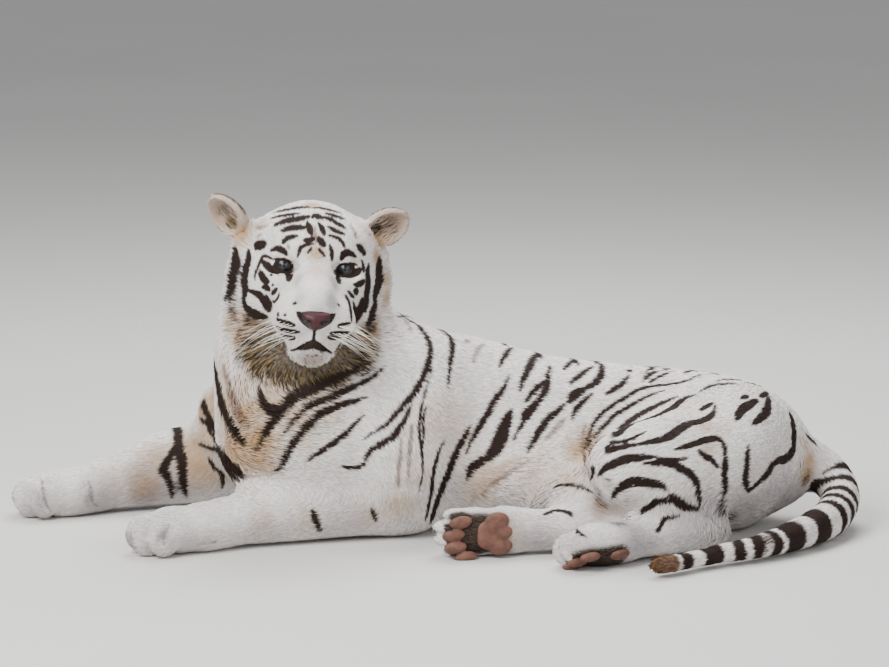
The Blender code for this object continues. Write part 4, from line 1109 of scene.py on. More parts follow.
# Painted shade: cool grey where shade falls, on the face, between the toes, under legs, belly and haunch.
PAINTED_SHADE = {
    "side": [
        (-81.6, 4.6, 1.6, 0.9), (-72, 4.6, 1.8, 0.9), (-54.8, 5, 1.8, 0.8), (-61, 2.6, 3, 0.8),
        (11, 5, 6, 0.7), (18, 3.6, 5, 0.7), (38, 5, 6, 0.8), (66, 12, 9, 0.6), (58, 10, 8, 0.6),
        (31, 9.6, 3.6, 1), (-44, 10, 8, 0.5), (50, 8, 9, 0.6), (60, 8, 9, 0.6), (70, 9, 8, 0.6),
        (20, 9, 8, 0.4), (30, 9, 6, 0.4), (8, 9, 8, 0.3), (24, 5, 6, 0.35),
    ],
    "head": [
        (3.6, -1.6, 2, 0.6), (-3.5, -1.6, 2, 0.75), (3.4, -4.6, 2.2, 0.45), (-3.3, -4.6, 2.4, 0.75),
        (-3.4, -7, 1.8, 0.5), (0, -6.4, 1.8, 0.5), (6.4, -2.6, 2.4, 0.35), (-6.2, -2.8, 2.4, 0.35),
        (0, -16, 3.6, 1), (2.2, -12.6, 1.6, 0.3), (-2.2, -12.6, 1.6, 0.35), (0, 1.6, 2.6, 0.3),
        (8, 5, 3, 0.2), (-8, 5, 3, 0.25), (-11.6, -6, 5, 0.35), (12.6, -11.6, 5, 0.6), (-12.4, -11.6, 5, 0.6),
        (14.6, -4, 5, 0.4),
    ],
    "foreleg_left": [
        (-56, 70, 6, 0.35), (-50, 110, 6, 0.5), (-36, 120, 7, 0.4), (-20, 120, 8, 0.35),
    ],
    "foreleg_right": [
        (-82, 90, 6, 0.6), (-70, 115, 7, 0.8), (-62, 96, 5, 0.9), (-61, 120, 6, 1), (-56, 110, 8, 0.5),
    ],
    "trunk": [
        (46, 72, 6, 0.3), (62, 90, 8, 0.45), (66, 60, 8, 0.25),
    ],
}
# The ruff's own dusky fur, and painted shade: under the chin and haunch, in the armpit, on the inner thigh.
DUSK_AND_SHADE = {
    "head": [
        (7.4, -15.8, 6, 1), (-7.2, -16, 5.8, 1), (0, -21, 6, 1), (4.6, -19.8, 6, 1), (-4.6, -19.8, 6, 1),
        (10.4, -17.8, 5.4, 0.8), (-10, -17.6, 5.2, 0.85), (5.4, -14.2, 2, 1), (-5.2, -14.4, 2, 1),
        (0, -18.2, 2.6, 0.7), (11.6, -11.6, 3, 0.6), (-11.2, -12.4, 3.4, 0.7), (14.8, -8.6, 3, 0.6),
        (12.8, -15.4, 4, 0.62), (-12.4, -15.8, 3.6, 0.62), (3.5, -3.2, 1.6, 0.16), (-3.3, -3.2, 1.6, 0.2),
        (14.6, -11.4, 2.6, 0.6), (-12.2, -12, 2.8, 0.6), (5.2, -15.4, 2.8, 0.8), (-5.6, -15.6, 2.8, 0.8),
        (9.4, -13.2, 2.4, 0.45),
    ],
    "side": [
        (30.6, 10.4, 3, 0.5), (33.4, 8.2, 2.8, 0.6), (14, 4.6, 3.6, 0.25), (36, 12, 3, 0.35),
        (56, 4.6, 4, 0.55), (62, 4.6, 4, 0.6), (68, 6, 4, 0.55), (31.6, 15.6, 2.6, 0.45), (30, 13, 2.8, 0.5),
        (7, 3.4, 3, 0.5), (11, 3.4, 3, 0.45), (-36, 36.6, 5, 0.85), (-40, 37.4, 3.6, 0.6),
        (-29, 34.4, 4.6, 0.85), (-20.5, 35.6, 4.6, 0.8), (-17.4, 38, 3.4, 0.6), (-24.6, 33.6, 3.6, 0.7),
        (-42.4, 12.4, 3.4, 0.8),
    ],
    "foreleg_right": [
        (-55, 118, 3.4, 0.5),
    ],
    "trunk": [
        (20, 108, 4, 0.4), (72.8, 112, 3, 0.6), (54, 101, 3, 0.6),
    ],
}

# %% Throwing the strokes onto the skin
def axis_of(limb, start, end):
    """A limb's line the other way round, with one more place before it and its last one moved."""
    return [start, *(row[:3] for row in limb[:0:-1]), end]


AXES = {
    "trunk": axis_of(TRUNK, (-0.45, 0.150, 0.220), (0.80, 0.240, 0.125)),
    "foreleg_right": axis_of(FOREARM_RIGHT, (-0.90, 0.285, 0.038), (-0.37, 0.400, 0.120)),
    "foreleg_left": [
        (-0.64, -0.025, 0.041), (-0.47, 0.030, 0.046), (-0.41, 0.048, 0.053), (-0.33, 0.070, 0.064),
        (-0.23, 0.098, 0.074), (-0.13, 0.125, 0.080), (-0.07, 0.130, 0.100),
    ],
}
CM = 0.01
# The millimetres that a stroke gains on each chart, as hair hides part of it.
SPREAD = {
    "head": 2.2, "head_top": 2.2, "head_back": 1.4, "trunk": 3.8, "side": 3.8,
    "foreleg_right": 3.2, "foreleg_left": 3.2,
}
OUTSIDE_HEAD = 0.40  # metres from the head's middle
skin_tree = BVHTree.FromObject(skin, bpy.context.evaluated_depsgraph_get())


def throw(chart, a, b):
    """The place on the skin, and its normal, that a chart's two numbers stand for."""
    if chart in ("head", "head_back"):
        ahead = 1 if chart == "head" else -1
        start = head_matrix() @ Vector((a * CM, OUTSIDE_HEAD * ahead, b * CM))
        heading = head_matrix().to_3x3() @ Vector((0, -ahead, 0))
    elif chart == "head_top":
        start = head_matrix() @ Vector((a * CM, b * CM, OUTSIDE_HEAD))
        heading = head_matrix().to_3x3() @ Vector((0, 0, -1))
    elif chart == "side":
        start, heading = Vector((a * CM, -1.0, b * CM)), Vector((0, 1, 0))
    else:
        line = np.array(AXES[chart])
        y, z = (np.interp(a * CM, line[:, 0], line[:, k]) for k in (1, 2))
        start, heading = Vector((a * CM, y, z)), Vector((0, -sin(radians(b)), cos(radians(b))))
    return skin_tree.ray_cast(start, heading)[:2]


def thrown_stroke(chart, width, places):
    """A stroke on the skin: its line, half widths and normals, and the box that it reaches."""
    rows = smooth_stations(places, 5)
    line, halves, facing = [], [], []
    for n, (a, b) in enumerate(rows):
        spot, normal = throw(chart, a, b)
        if spot is None:
            continue
        line.append(spot)
        facing.append(normal)
        taper = max(sin(pi * n / (len(rows) - 1)), 0.05) ** 0.45
        halves.append((1.2 * width + SPREAD[chart]) / 2000 * taper)
    line = np.array(line)
    reach = max(halves) + 0.004
    return line, np.array(halves), np.array(facing), line.min(axis=0) - reach, line.max(axis=0) + reach


def thrown(charts):
    """Every stroke of every chart, thrown onto the skin."""
    made = []
    for chart, strokes in charts.items():
        made += [thrown_stroke(chart, width, places) for width, *places in strokes]
    return made


def mirrored(strokes):
    """Trunk strokes for the far side, a little further along and a little shorter or longer.

    The ones low on the near thigh stay behind, as that side has stripes of its own there.
    """
    for n, (width, *places) in enumerate(strokes):
        if min(b for a, b in places) > 70 and 28 < places[0][0] < 60:
            continue
        shift, reach = 1.1 * sin(2.3 * n), 1 + 0.04 * sin(3.7 * n)
        yield (width * (1 + 0.15 * sin(5.1 * n)), *((a + shift, -b * reach) for a, b in places))


black = thrown({
    "head": HEAD_STRIPES + WHISKER_ROWS,
    "head_top": CROWN_STRIPES,
    "head_back": HEAD_BACK_STRIPES,
    "trunk": [*TRUNK_STRIPES, *mirrored(TRUNK_STRIPES), *FAR_TRUNK_STRIPES],
    "side": SIDE_STRIPES,
    "foreleg_right": FORELEG_RIGHT_STRIPES,
    "foreleg_left": FORELEG_LEFT_STRIPES,
})
toe_lines = thrown({"side": TOE_LINES})
# The toe lines darken with the brown: painted shade in the grooves between the toes.
brown = toe_lines + thrown({
    "head": HEAD_BROWN,
    "trunk": [*TRUNK_BROWN, *mirrored(TRUNK_BROWN)],
    "side": SIDE_BROWN,
})
tan_bands = thrown({"trunk": TRUNK_TAN})
print("strokes:", len(black), "black and", len(brown), "brown")


OUTSIDE = -0.01  # the depth, in metres, of a point that is in no stroke


def stroke_depth(strokes, points, normals):
    """How deep each point lies in the nearest stroke, in metres, above 0 inside."""
    deep = np.full(len(points), OUTSIDE)
    for line, halves, facing, low, high in strokes:
        close = np.nonzero(np.all((points > low) & (points < high), axis=1))[0]
        if not len(close) or len(line) < 2:
            continue
        here, up = points[close], normals[close]
        best = np.full(len(close), OUTSIDE)
        for i in range(len(line) - 1):
            step = line[i + 1] - line[i]
            t = np.clip((here - line[i]) @ step / max(step @ step, 1e-12), 0, 1)
            far = np.linalg.norm(here - line[i] - t[:, None] * step, axis=1)
            inside = halves[i] + t * (halves[i + 1] - halves[i]) - far
            best = np.maximum(best, np.where(up @ facing[i] > 0.05, inside, OUTSIDE))
        deep[close] = np.maximum(deep[close], best)
    return deep


def soft(value, low, high):
    """0 below low, 1 above high, and smooth between them."""
    share = np.clip((value - low) / (high - low), 0, 1)
    return share * share * (3 - 2 * share)


def on_charts(charts):
    """The place on the skin of each entry of each chart, and the rest of its numbers."""
    for chart, entries in charts.items():
        for a, b, *rest in entries:
            spot = throw(chart, a, b)[0]
            if spot is not None:
                yield spot, *rest


def patches(charts, points):
    """The strongest of some soft patches at each point."""
    strength = np.zeros(len(points))
    for spot, reach, most in on_charts(charts):
        share = near(points, spot, 0.2 * reach * CM, 1.25 * reach * CM)
        strength = np.maximum(strength, most * share)
    return strength


def wander(points, size):
    """A smooth value from -1 to 1 that changes over a distance."""
    x, y, z = (points / size).T
    waves = np.sin(x + 1.7 * np.sin(0.8 * y + 0.3)) * np.cos(1.1 * z + 1.3 * np.sin(0.9 * x))
    return waves * np.sin(0.9 * y + z + 1)


# %% Everything that colours a point
MARKS = ("black", "brown", "warm", "dusk_and_shade", "painted_shade")
RAGGED, RAGGED_SIZE = 0.0008, 0.004  # how far a stripe's edge wanders, and over what distance
BLACK_EDGE, BROWN_EDGE, RING_EDGE = 0.0010, 0.0020, 0.0015
BROWN_SHARE, TAN_SHARE = 0.75, 0.65
# The tail is what lies near its line, beyond the rump or in front of it, and low.
TAIL_REACH, TAIL_TOP = 0.068, 0.135
RUMP_END, RUMP_FRONT, TAIL_ROOT = 0.735, 0.13, 0.10


class Marks(dict):
    """The share of each of the coat's colours at some points."""

    def lay(self, name, shares):
        """Raises a share to at least the given ones."""
        self[name] = np.maximum(self[name], shares)


def mark_tail(marks, points):
    """Rings, and the brown tip."""
    rows = np.array(smooth_stations(TAIL, 5))
    far, along = line_distance(points, rows[:, :3])
    beyond = points[:, 0] > RUMP_END
    own = (far < TAIL_REACH) & (beyond | (points[:, 1] < RUMP_FRONT)) & (points[:, 2] < TAIL_TOP)
    own &= (along > TAIL_ROOT) | beyond
    lengths = np.append(0, np.cumsum(np.linalg.norm(np.diff(rows[:, :3], axis=0), axis=1)))
    reached = np.interp(along * (len(rows) - 1), np.arange(len(rows)), lengths)
    for middle, width in TAIL_RINGS:
        ring = width * CM / 2 - np.abs(reached + 0.006 * wander(points, 0.03) - middle * CM)
        marks.lay("black", soft(ring, -RING_EDGE, RING_EDGE) * own)
    tip = soft(reached, TAIL_BROWN_FROM, TAIL_BROWN_FROM + 0.01) * own * (far < 0.04)
    for name, most in (("brown", 0.95), ("warm", 1), ("black", 0.30)):
        marks.lay(name, most * tip)


def mark_ears(marks, points, normals):
    """Dark backs with a pale spot, warm rims, and painted shade inside, darkest deep in the hollow."""
    for name in EARS:
        spot = in_ear(points, name)
        facing = (normals @ np.array(ear_matrix(name).to_3x3()))[:, 1]
        here = near(spot, EAR_MIDDLE, 0.045, 0.056)
        back = here * soft(-facing, -0.12, 0.22) * soft(spot[:, 2], 0.008, 0.024)
        back *= 1 - near(spot * (1, 0, 1), (0.004, 0, 0.060), 0.009, 0.014)
        marks.lay("black", 0.35 * back)
        marks.lay("brown", back)
        marks.lay("warm", 0.50 * here * soft(facing, -0.3, 0.3))
        # Painted shade inside the cup: grey all over, with the darkest deep in its hollow.
        inside = soft(facing, 0.15, 0.55)
        marks.lay("painted_shade", 0.85 * inside * near(spot, (0, 0.004, 0.042), 0.026, 0.044))
        marks.lay("dusk_and_shade", 0.42 * inside * near(spot, (0, 0.004, 0.042), 0.020, 0.036))
        marks.lay("dusk_and_shade", 0.95 * inside * near(spot, (0.006, 0, 0.020), 0.008, 0.024))


def mark_face(marks, points):
    """Black rims of the lids, lips and folds beside the nose, and specks on the forehead and the chin."""
    head = in_head(points)
    ahead, up = head[:, 1], head[:, 2]
    for side in (-1, 1):
        far = np.linalg.norm(head - (side * EYE_SIDE, EYE_AHEAD, 0), axis=1)
        marks.lay("black", (far < LID_RADII[0] + 0.0006) & (ahead > 0.010))
    flattened = (1, 0.10, 1)
    folded = head * flattened
    folded[:, 0] = np.abs(folded[:, 0])
    lips = line_distance(folded, np.array(smooth_stations(LIP_LINE, 4)) * flattened)[0]
    marks.lay("black", soft(-lips, -0.0036, -0.0022) * (ahead > 0.04))
    down = np.clip((-up - 0.060) / 0.043, 0, 1)
    beside = 0.035 * (1 - down**2.4) + 0.005 - np.abs(head[:, 0])
    wings = (ahead > 0.10) & (up > -0.105) & (up < -0.066)
    marks.lay("black", soft(beside, 0, 0.0015) * wings)
    forehead = near(head, (0, 0.02, 0.014), 0.014, 0.040)
    marks.lay("brown", 0.7 * forehead * (wander(points, 0.0020) > 0.30))
    chin = near(head, (0, 0.118, -0.155), 0.016, 0.036)
    marks.lay("black", 0.8 * chin * (wander(points, 0.0026) > 0.40))


def mark_soles(marks, points):
    """Dark fur between the pads of the soles that show. The numbers are shares of a paw's size."""
    for wrist, toes, roll, length, width, height, pads in PAWS.values():
        if pads:
            spot = local(points, sole_frame(wrist, toes, roll, length)) / (width, length, height)
            sole = soft(-spot[:, 2], 0.10, 0.34) * soft(spot[:, 1], 0.10, 0.32)
            sole *= (np.abs(spot[:, 0]) < 0.6) & (spot[:, 1] < 0.93) & (spot[:, 2] > -0.65)
            marks.lay("dusk_and_shade", 0.75 * sole)
            marks.lay("black", 0.85 * sole * soft(spot[:, 1], 0.20, 0.36))


def marks_at(points, normals):
    """The shares of the coat's colours at points of the skin, in the order of their names."""
    ragged = RAGGED * wander(points, RAGGED_SIZE)
    thrown_kinds = (black, brown, tan_bands)
    dark, brown_and_shade, banded = (stroke_depth(kind, points, normals) for kind in thrown_kinds)
    marks = Marks(
        black=soft(dark + ragged, -BLACK_EDGE, BLACK_EDGE),
        brown=BROWN_SHARE * soft(brown_and_shade + ragged, -BROWN_EDGE, BROWN_EDGE),
        warm=patches(WARM, points) * (0.85 + 0.15 * wander(points, 0.02)),
        dusk_and_shade=patches(DUSK_AND_SHADE, points),
        painted_shade=patches(PAINTED_SHADE, points),
    )
    marks.lay("warm", TAN_SHARE * soft(banded, -0.010, 0.006))
    mark_tail(marks, points)
    mark_ears(marks, points, normals)
    mark_face(marks, points)
    mark_soles(marks, points)
    return [np.clip(marks[name], 0, 1) for name in MARKS]


def write_value(mesh, name, values):
    """One number on each vertex, for the material to read."""
    layer = mesh.attributes.new(name, "FLOAT", "POINT")
    layer.data.foreach_set("value", np.asarray(values, np.float32))


# The grooves between the toes are pressed first, so that their marks lie on the pressed skin.
TOE_GROOVE = 0.0045
SKIN_ALONG = 0.35  # the skin is as dark as a tuft is this far from its root
skin_points, skin_normals = read_points(skin), read_normals(skin)
groove_share = soft(stroke_depth(toe_lines, skin_points, skin_normals), -0.003, 0.0025)
skin_points -= skin_normals * (TOE_GROOVE * groove_share)[:, None]
write_points(skin, skin_points)
skin_normals = read_normals(skin)
for name, values in zip(MARKS, marks_at(skin_points, skin_normals)):
    write_value(skin.data, name, values)
write_value(skin.data, "tone", 0.5 + 0.3 * wander(skin_points, 0.006))
write_value(skin.data, "along", np.full(len(skin_points), SKIN_ALONG))
print("marked", len(skin_points), "points of skin")

# %% [markdown]
# ## The coat's material
#
# One material serves skin and tufts. It reads the marks of each point and lays the colours over one
# another: painted shade in cool grey over white, then warm tan, brown, which also paints shade in creases,
# dusky locks with some ochre ones among them, which are the ruff's dark fur and also painted shade, and
# black. Each tuft is a little lighter or darker than the next, and each is darker at its root.

# %% Coat material
WHITE_FUR = (0.88, 0.845, 0.825, 1.0)
GREY_FUR = (0.56, 0.505, 0.475, 1.0)
SHADED_FUR = (0.40, 0.365, 0.375, 1.0)
WARM_FUR = (0.43, 0.235, 0.075, 1.0)
BROWN_AND_SHADE_FUR = (0.115, 0.050, 0.024, 1.0)
# dusky fur, and the colour of painted shade in the dusky locks
DUSKY_FUR_AND_SHADE = (0.026, 0.018, 0.0085, 1.0)
OCHRE_FUR = (0.125, 0.078, 0.022, 1.0)
BLACK_FUR = (0.017, 0.0080, 0.0050, 1.0)
ROOT_FUR = (0.30, 0.27, 0.25, 1.0)

coat = Finish("coat_white", Roughness=0.78, Specular_IOR_Level=0.25)
tone, along = coat.attribute("tone"), coat.attribute("along")
patchy = coat.noise(9.0, 3.0)
colour = coat.mix((tone * 0.75 + patchy * 0.5).rise(0.25, 1.25), WHITE_FUR, GREY_FUR)
# painted shade: a cool grey laid over the fur where shade falls
colour = coat.mix(coat.attribute("painted_shade") * (tone * 0.3 + 0.85), colour, SHADED_FUR)
colour = coat.mix(coat.attribute("warm") * (patchy * 0.4 + 0.75), colour, WARM_FUR)
# Brown fur, and painted shade in the toes' grooves and along the flank's fold.
colour = coat.mix(coat.attribute("brown") * (tone * 0.5 + 0.65), colour, BROWN_AND_SHADE_FUR)
# Dusky locks, some ochre: the ruff's own dark fur, and painted shade under the chin, haunch and forelegs.
locks = (coat.attribute("dusk_and_shade") * 1.5 - tone * 0.62).rise(0.0, 0.75)
colour = coat.mix(locks, colour, coat.mix(tone.rise(0.25, 0.85), DUSKY_FUR_AND_SHADE, OCHRE_FUR))
colour = coat.mix((1.0 - along.rise(0.0, 0.6)) * 0.40, colour, ROOT_FUR)
colour = coat.mix(coat.attribute("black"), colour, BLACK_FUR)
coat.feed("Base Color", colour)
coat.bump(coat.noise(420.0), 0.35, 0.0012)
skin.data.materials.append(coat.material)

# %% [markdown]
# ## The lie of the coat
#
# Hair runs from the nose back over the head, down the neck and the trunk to the tail, and down each leg
# to its toes. Every point of the skin takes its direction from the lines of the limbs nearest to it. The
# directions are then laid flat on the skin and smoothed.

# %% Directions
def paw_line(name):
    """A paw's line in stations like a limb's."""
    wrist, toes, *_, width, height, pads = PAWS[name]
    return [(*wrist, width, height), (*toes, width, height)]


FLOW_LINES = [
    TRUNK[::-1], NECK[::-1], TAIL, FORELEG_LEFT, FOREARM_LEFT, FORELEG_RIGHT, FOREARM_RIGHT,
    THIGH_LEFT, SHANK_LEFT, HINDFOOT_LEFT, THIGH_RIGHT, SHANK_RIGHT, HINDFOOT_RIGHT,
    *(paw_line(name) for name in PAWS),
]
FLOW_BLEND = -7.0  # the power by which a limb's say falls with its distance
FLOW_ROUNDS = 12
NOSE_TIP = (0, 0.150, -0.075)


def unit(vectors):
    return vectors / np.maximum(np.linalg.norm(vectors, axis=1, keepdims=True), 1e-9)


def lie_of_coat(points):
    """The way the hair runs at each point, not yet laid flat."""
    total = np.zeros((len(points), 3))
    for stations in FLOW_LINES:
        rows = np.array(smooth_stations(stations, 3))
        best = np.full(len(points), 9.0)
        way = np.zeros((len(points), 3))
        for start, end in zip(rows[:-1], rows[1:]):
            step = end[:3] - start[:3]
            t = np.clip((points - start[:3]) @ step / (step @ step), 0, 1)
            radius = (start[3:].mean() + t * (end[3:].mean() - start[3:].mean())) / 2
            far = np.linalg.norm(points - start[:3] - t[:, None] * step, axis=1) / radius
            closer = far < best
            best[closer] = far[closer]
            way[closer] = step / np.linalg.norm(step)
        total += way * np.maximum(best, 0.3)[:, None] ** FLOW_BLEND
    way = unit(total)
    frame_turn = np.array(head_matrix().to_3x3())
    head = in_head(points)
    share = near(head, (0, -0.03, -0.03), 0.16, 0.24)[:, None]
    way = way * (1 - share) + unit((head - NOSE_TIP) @ frame_turn.T) * share
    for name in EARS:
        here = near(in_ear(points, name), (0, 0, 0.050), 0.042, 0.058)[:, None]
        way = way * (1 - here) + np.array(ear_matrix(name).to_3x3())[:, 2] * here
    return way


def laid_flat(way, normals):
    return unit(way - normals * (way * normals).sum(axis=1)[:, None])


starts, ends = read(skin.data.edges, "vertices", np.int32, 2).T
flow = laid_flat(lie_of_coat(skin_points), skin_normals)
for _ in range(FLOW_ROUNDS):
    total = flow.copy()
    for k in range(3):
        total[:, k] += np.bincount(starts, flow[ends, k], len(flow))
        total[:, k] += np.bincount(ends, flow[starts, k], len(flow))
    flow = laid_flat(total, skin_normals)
print("the coat's lie is set on", len(flow), "points")

# %% How long, how wide and how far off the skin
# On each chart: place, reach in centimetres, then the length and lift that the coat has there.
LOCKS = {
    "head": [
        (14.2, 3.6, 4.4, 0.03, 0.55), (-12.8, 3.6, 4, 0.028, 0.5), (15, -4, 4, 0.024, 0.26),
        (14.6, -11, 5, 0.036, 0.34), (-14.4, -4, 4, 0.024, 0.26), (-13.8, -11, 5, 0.034, 0.34),
        (9, -14.5, 5, 0.036, 0.4), (-8.6, -14.5, 5, 0.036, 0.4), (0, -18, 4, 0.02, 0.4),
    ],
    "side": [
        (-40, 30, 9, 0.03, 0.26), (-30, 30, 9, 0.028, 0.26), (-40, 20, 9, 0.032, 0.26),
    ],
    "trunk": [
        (27.5, 88, 6, 0.026, 0.2), (16, 108, 9, 0.028, 0.24), (4, 120, 8, 0.026, 0.22),
        (54, 101, 5, 0.03, 0.34),
    ],
}
# Place in the head's frame, reach, length and lift of the beard and of the locks beside the mouth.
BEARD = [
    ((0, 0.105, -0.182), 0.038, 0.019, 0.42), ((0.034, 0.075, -0.172), 0.034, 0.020, 0.42),
    ((-0.034, 0.075, -0.172), 0.034, 0.020, 0.42), ((0.070, 0.050, -0.135), 0.034, 0.022, 0.34),
    ((-0.070, 0.050, -0.135), 0.034, 0.022, 0.34),
]
# Lengths in metres, and how steeply the tufts stand, in radians.
BODY_TUFT, HEAD_TUFT, FACE_TUFT = 0.0165, 0.0115, 0.0068
PAW_TUFT, EAR_TUFT, IN_EAR_TUFT = 0.0100, 0.0095, 0.026
BODY_LIFT, FACE_LIFT, IN_EAR_LIFT = 0.13, 0.16, 0.50


def lengths_at(points):
    """The coat's length and lift at each point."""
    length, lift = np.full(len(points), BODY_TUFT), np.full(len(points), BODY_LIFT)

    def blend_in(share, wanted, wanted_lift=None):
        length[:] += (wanted - length) * share
        if wanted_lift is not None:
            lift[:] += (wanted_lift - lift) * share

    head = in_head(points)
    blend_in(near(head, (0, 0, -0.02), 0.12, 0.20), HEAD_TUFT)
    for spot, reach, longest, most in on_charts(LOCKS):
        blend_in(near(points, spot, 0.3 * reach * CM, 1.4 * reach * CM), longest, most)
    face = near(head, (0, 0.075, -0.050), 0.085, 0.165)
    blend_in(face, FACE_TUFT, FACE_LIFT)
    for place, reach, longest, most in BEARD:
        blend_in(near(head, place, 0.4 * reach, reach), longest, most)
    blend_in(paw_share(points), PAW_TUFT)
    blend_in(ear_share(points) * (1 - face), EAR_TUFT)
    for name in EARS:
        blend_in(near(in_ear(points, name), (0, 0.012, 0.024), 0.020, 0.034), IN_EAR_TUFT, IN_EAR_LIFT)
    return length, lift


skin_length, skin_lift = lengths_at(skin_points)
print("tufts from", round(skin_length.min() * 1000, 1), "to", round(skin_length.max() * 1000, 1), "mm long")

# %% [markdown]
# ### Unwrapping the skin
#
# The skin is unwrapped, so that every tuft can be given a small patch of its own at the place where its
# root stands.

# %% Unwrap
only(skin)
bpy.ops.object.mode_set(mode="EDIT")
bpy.ops.mesh.select_all(action="SELECT")
bpy.ops.uv.smart_project(angle_limit=radians(66), island_margin=0.002)
bpy.ops.object.mode_set(mode="OBJECT")
skin.data.uv_layers.active.name = "OFBake"
unwrap = read(skin.data.uv_layers["OFBake"].uv, "vector", width=2)
print("unwrapped", len(skin.data.polygons), "faces")

# %% Roots
TUFTS = 186000
dice = np.random.default_rng(7)
skin.data.calc_loop_triangles()
corners = read(skin.data.loop_triangles, "vertices", np.int32)
loops = read(skin.data.loop_triangles, "loops", np.int32)
a, b, c = (skin_points[corners[:, k]] for k in range(3))
areas = np.linalg.norm(np.cross(b - a, c - a), axis=1) / 2
middles = (a + b + c) / 3

# closer together where the tufts are short, none in the eyelids, under nose and pads or against the floor
CLOSEST, WIDEST_APART = 0.0019, 0.0048
BARE_EYE, BARE_FLOOR = 0.0235, 0.004
TOE_PAD_BACK, BARE_TOE = 0.02, 0.115  # shares of a paw's length and width
apart = np.clip(0.25 * skin_length[corners].mean(axis=1) + 0.0006, CLOSEST, WIDEST_APART)
thick = 1 / apart**2
head_spots = in_head(middles)
for side in (-1, 1):
    thick[np.linalg.norm(head_spots - (side * EYE_SIDE, EYE_AHEAD, 0), axis=1) < BARE_EYE] = 0
thick[np.linalg.norm((head_spots - NOSE_PLACE) / NOSE_RADII, axis=1) < 1.02] = 0
for wrist, toes, roll, length, width, height, pads in PAWS.values():
    if pads:
        places = local(middles, sole_frame(wrist, toes, roll, length)) / (width, length, height)
        across, ahead_here, out = places.T
        under = (out < -0.2) & (out > -0.6)
        for side, ahead, size in TOES:
            far = np.hypot(across - side, ahead_here - ahead + TOE_PAD_BACK)
            thick[under & (far < BARE_TOE)] = 0
        for side, ahead, wide, long in MAIN_PAD:
            far = np.hypot((across - side) / wide, (ahead_here - ahead) / long)
            thick[under & (far < 0.95)] = 0
thick[middles[:, 2] < BARE_FLOOR] = 0
chances = areas * thick
picked = dice.choice(len(corners), TUFTS, p=chances / chances.sum())
picked = picked[np.argsort(middles[picked, 0], kind="stable")]
u, v = dice.random(TUFTS), dice.random(TUFTS)
over = u + v > 1
u[over], v[over] = 1 - u[over], 1 - v[over]
weights = np.stack([1 - u - v, u, v], axis=1)


def blended(values, picks=corners):
    """Values of the skin's points or corners, blended at each root."""
    chosen = values[picks[picked]]
    return (chosen * weights.reshape(*weights.shape, *[1] * (chosen.ndim - 2))).sum(axis=1)


roots = blended(skin_points)
ups = unit(blended(skin_normals))
ways = laid_flat(blended(flow), ups)
lengths = blended(skin_length) * dice.uniform(0.75, 1.25, TUFTS)
lifts = blended(skin_lift) * dice.uniform(0.6, 1.4, TUFTS)
spots = blended(unwrap, loops)
print("tufts:", TUFTS, "each on", round(areas.sum() / TUFTS * 1e6, 1), "square mm")

# %% Shaping the tufts
# A tuft has two rings of left, ridge and right, and a tip. The numbers are shares of its length and width.
RINGS = ((0.0, 1.0), (0.52, 0.80))
FACES = ((0, 4, 1), (0, 3, 4), (1, 5, 2), (1, 4, 5), (3, 6, 4), (4, 6, 5))
WIDTH_SHARE = 0.20
NARROWEST, WIDEST = 0.0015, 0.0034
swing = dice.normal(0, 0.16, TUFTS)
sides = np.cross(ups, ways)
ways = unit(ways + sides * swing[:, None])
sides = np.cross(ups, ways)
widths = np.clip(WIDTH_SHARE * lengths, NARROWEST, WIDEST) * dice.uniform(0.8, 1.2, TUFTS)
rise_out = ups * np.sin(lifts)[:, None] + ways * np.cos(lifts)[:, None]
SINK, RIDGE = 0.0008, 0.42  # the roots' depth in metres, and the ridge's height as a share of the width
TUFT_CLEARANCE = 0.0008  # of the floor
BEND = RINGS[1][0]


def tuft_rings():
    """Points of every tuft, ring by ring, and how far along the tuft each is."""
    rows, shares = [], []
    for share, wide in RINGS:
        spine = roots - ups * SINK + rise_out * (lengths * share)[:, None]
        half = sides * (widths * wide / 2)[:, None]
        rows += [spine - half, spine + ups * (widths * RIDGE)[:, None], spine + half]
        shares += [share] * 3
    tip = roots + rise_out * (BEND * lengths)[:, None] + ways * ((1 - BEND) * lengths)[:, None]
    rows.append(tip + ups * (lengths * np.sin(lifts) * 0.12)[:, None])
    shares.append(1.0)
    return np.stack(rows, axis=1), np.array(shares)


tuft_points, tuft_shares = tuft_rings()
tuft_points[:, :, 2] = np.maximum(tuft_points[:, :, 2], TUFT_CLEARANCE)
# each ring and the tip take the colour of the skin beneath them
MARKED_AT = (0.15, BEND, 0.85)
DUSK_AND_SHADE_KEPT = (1.0, 0.9, 0.7)  # the tips over dusky fur and painted shade are paler
marks = [marks_at(roots + ways * (share * lengths)[:, None], ups) for share in MARKED_AT]
for ring, kept in zip(marks, DUSK_AND_SHADE_KEPT):
    ring[MARKS.index("dusk_and_shade")] *= kept
RING_OF_POINT = np.array([0, 0, 0, 1, 1, 1, 2])
TUFT_SIZE = len(RING_OF_POINT)
OWN_FACING, SKIN_FACING = 0.45, 0.75  # a tuft is lit partly as itself, partly as the skin beneath it
tones = dice.random(TUFTS)
PATCH = 0.003  # the size of a tuft's patch in the unwrapping
patch_shape = PATCH * np.array([(-0.5, -0.5), (0, -0.5), (0.5, -0.5), (-0.4, 0), (0, 0), (0.4, 0), (0, 0.5)])


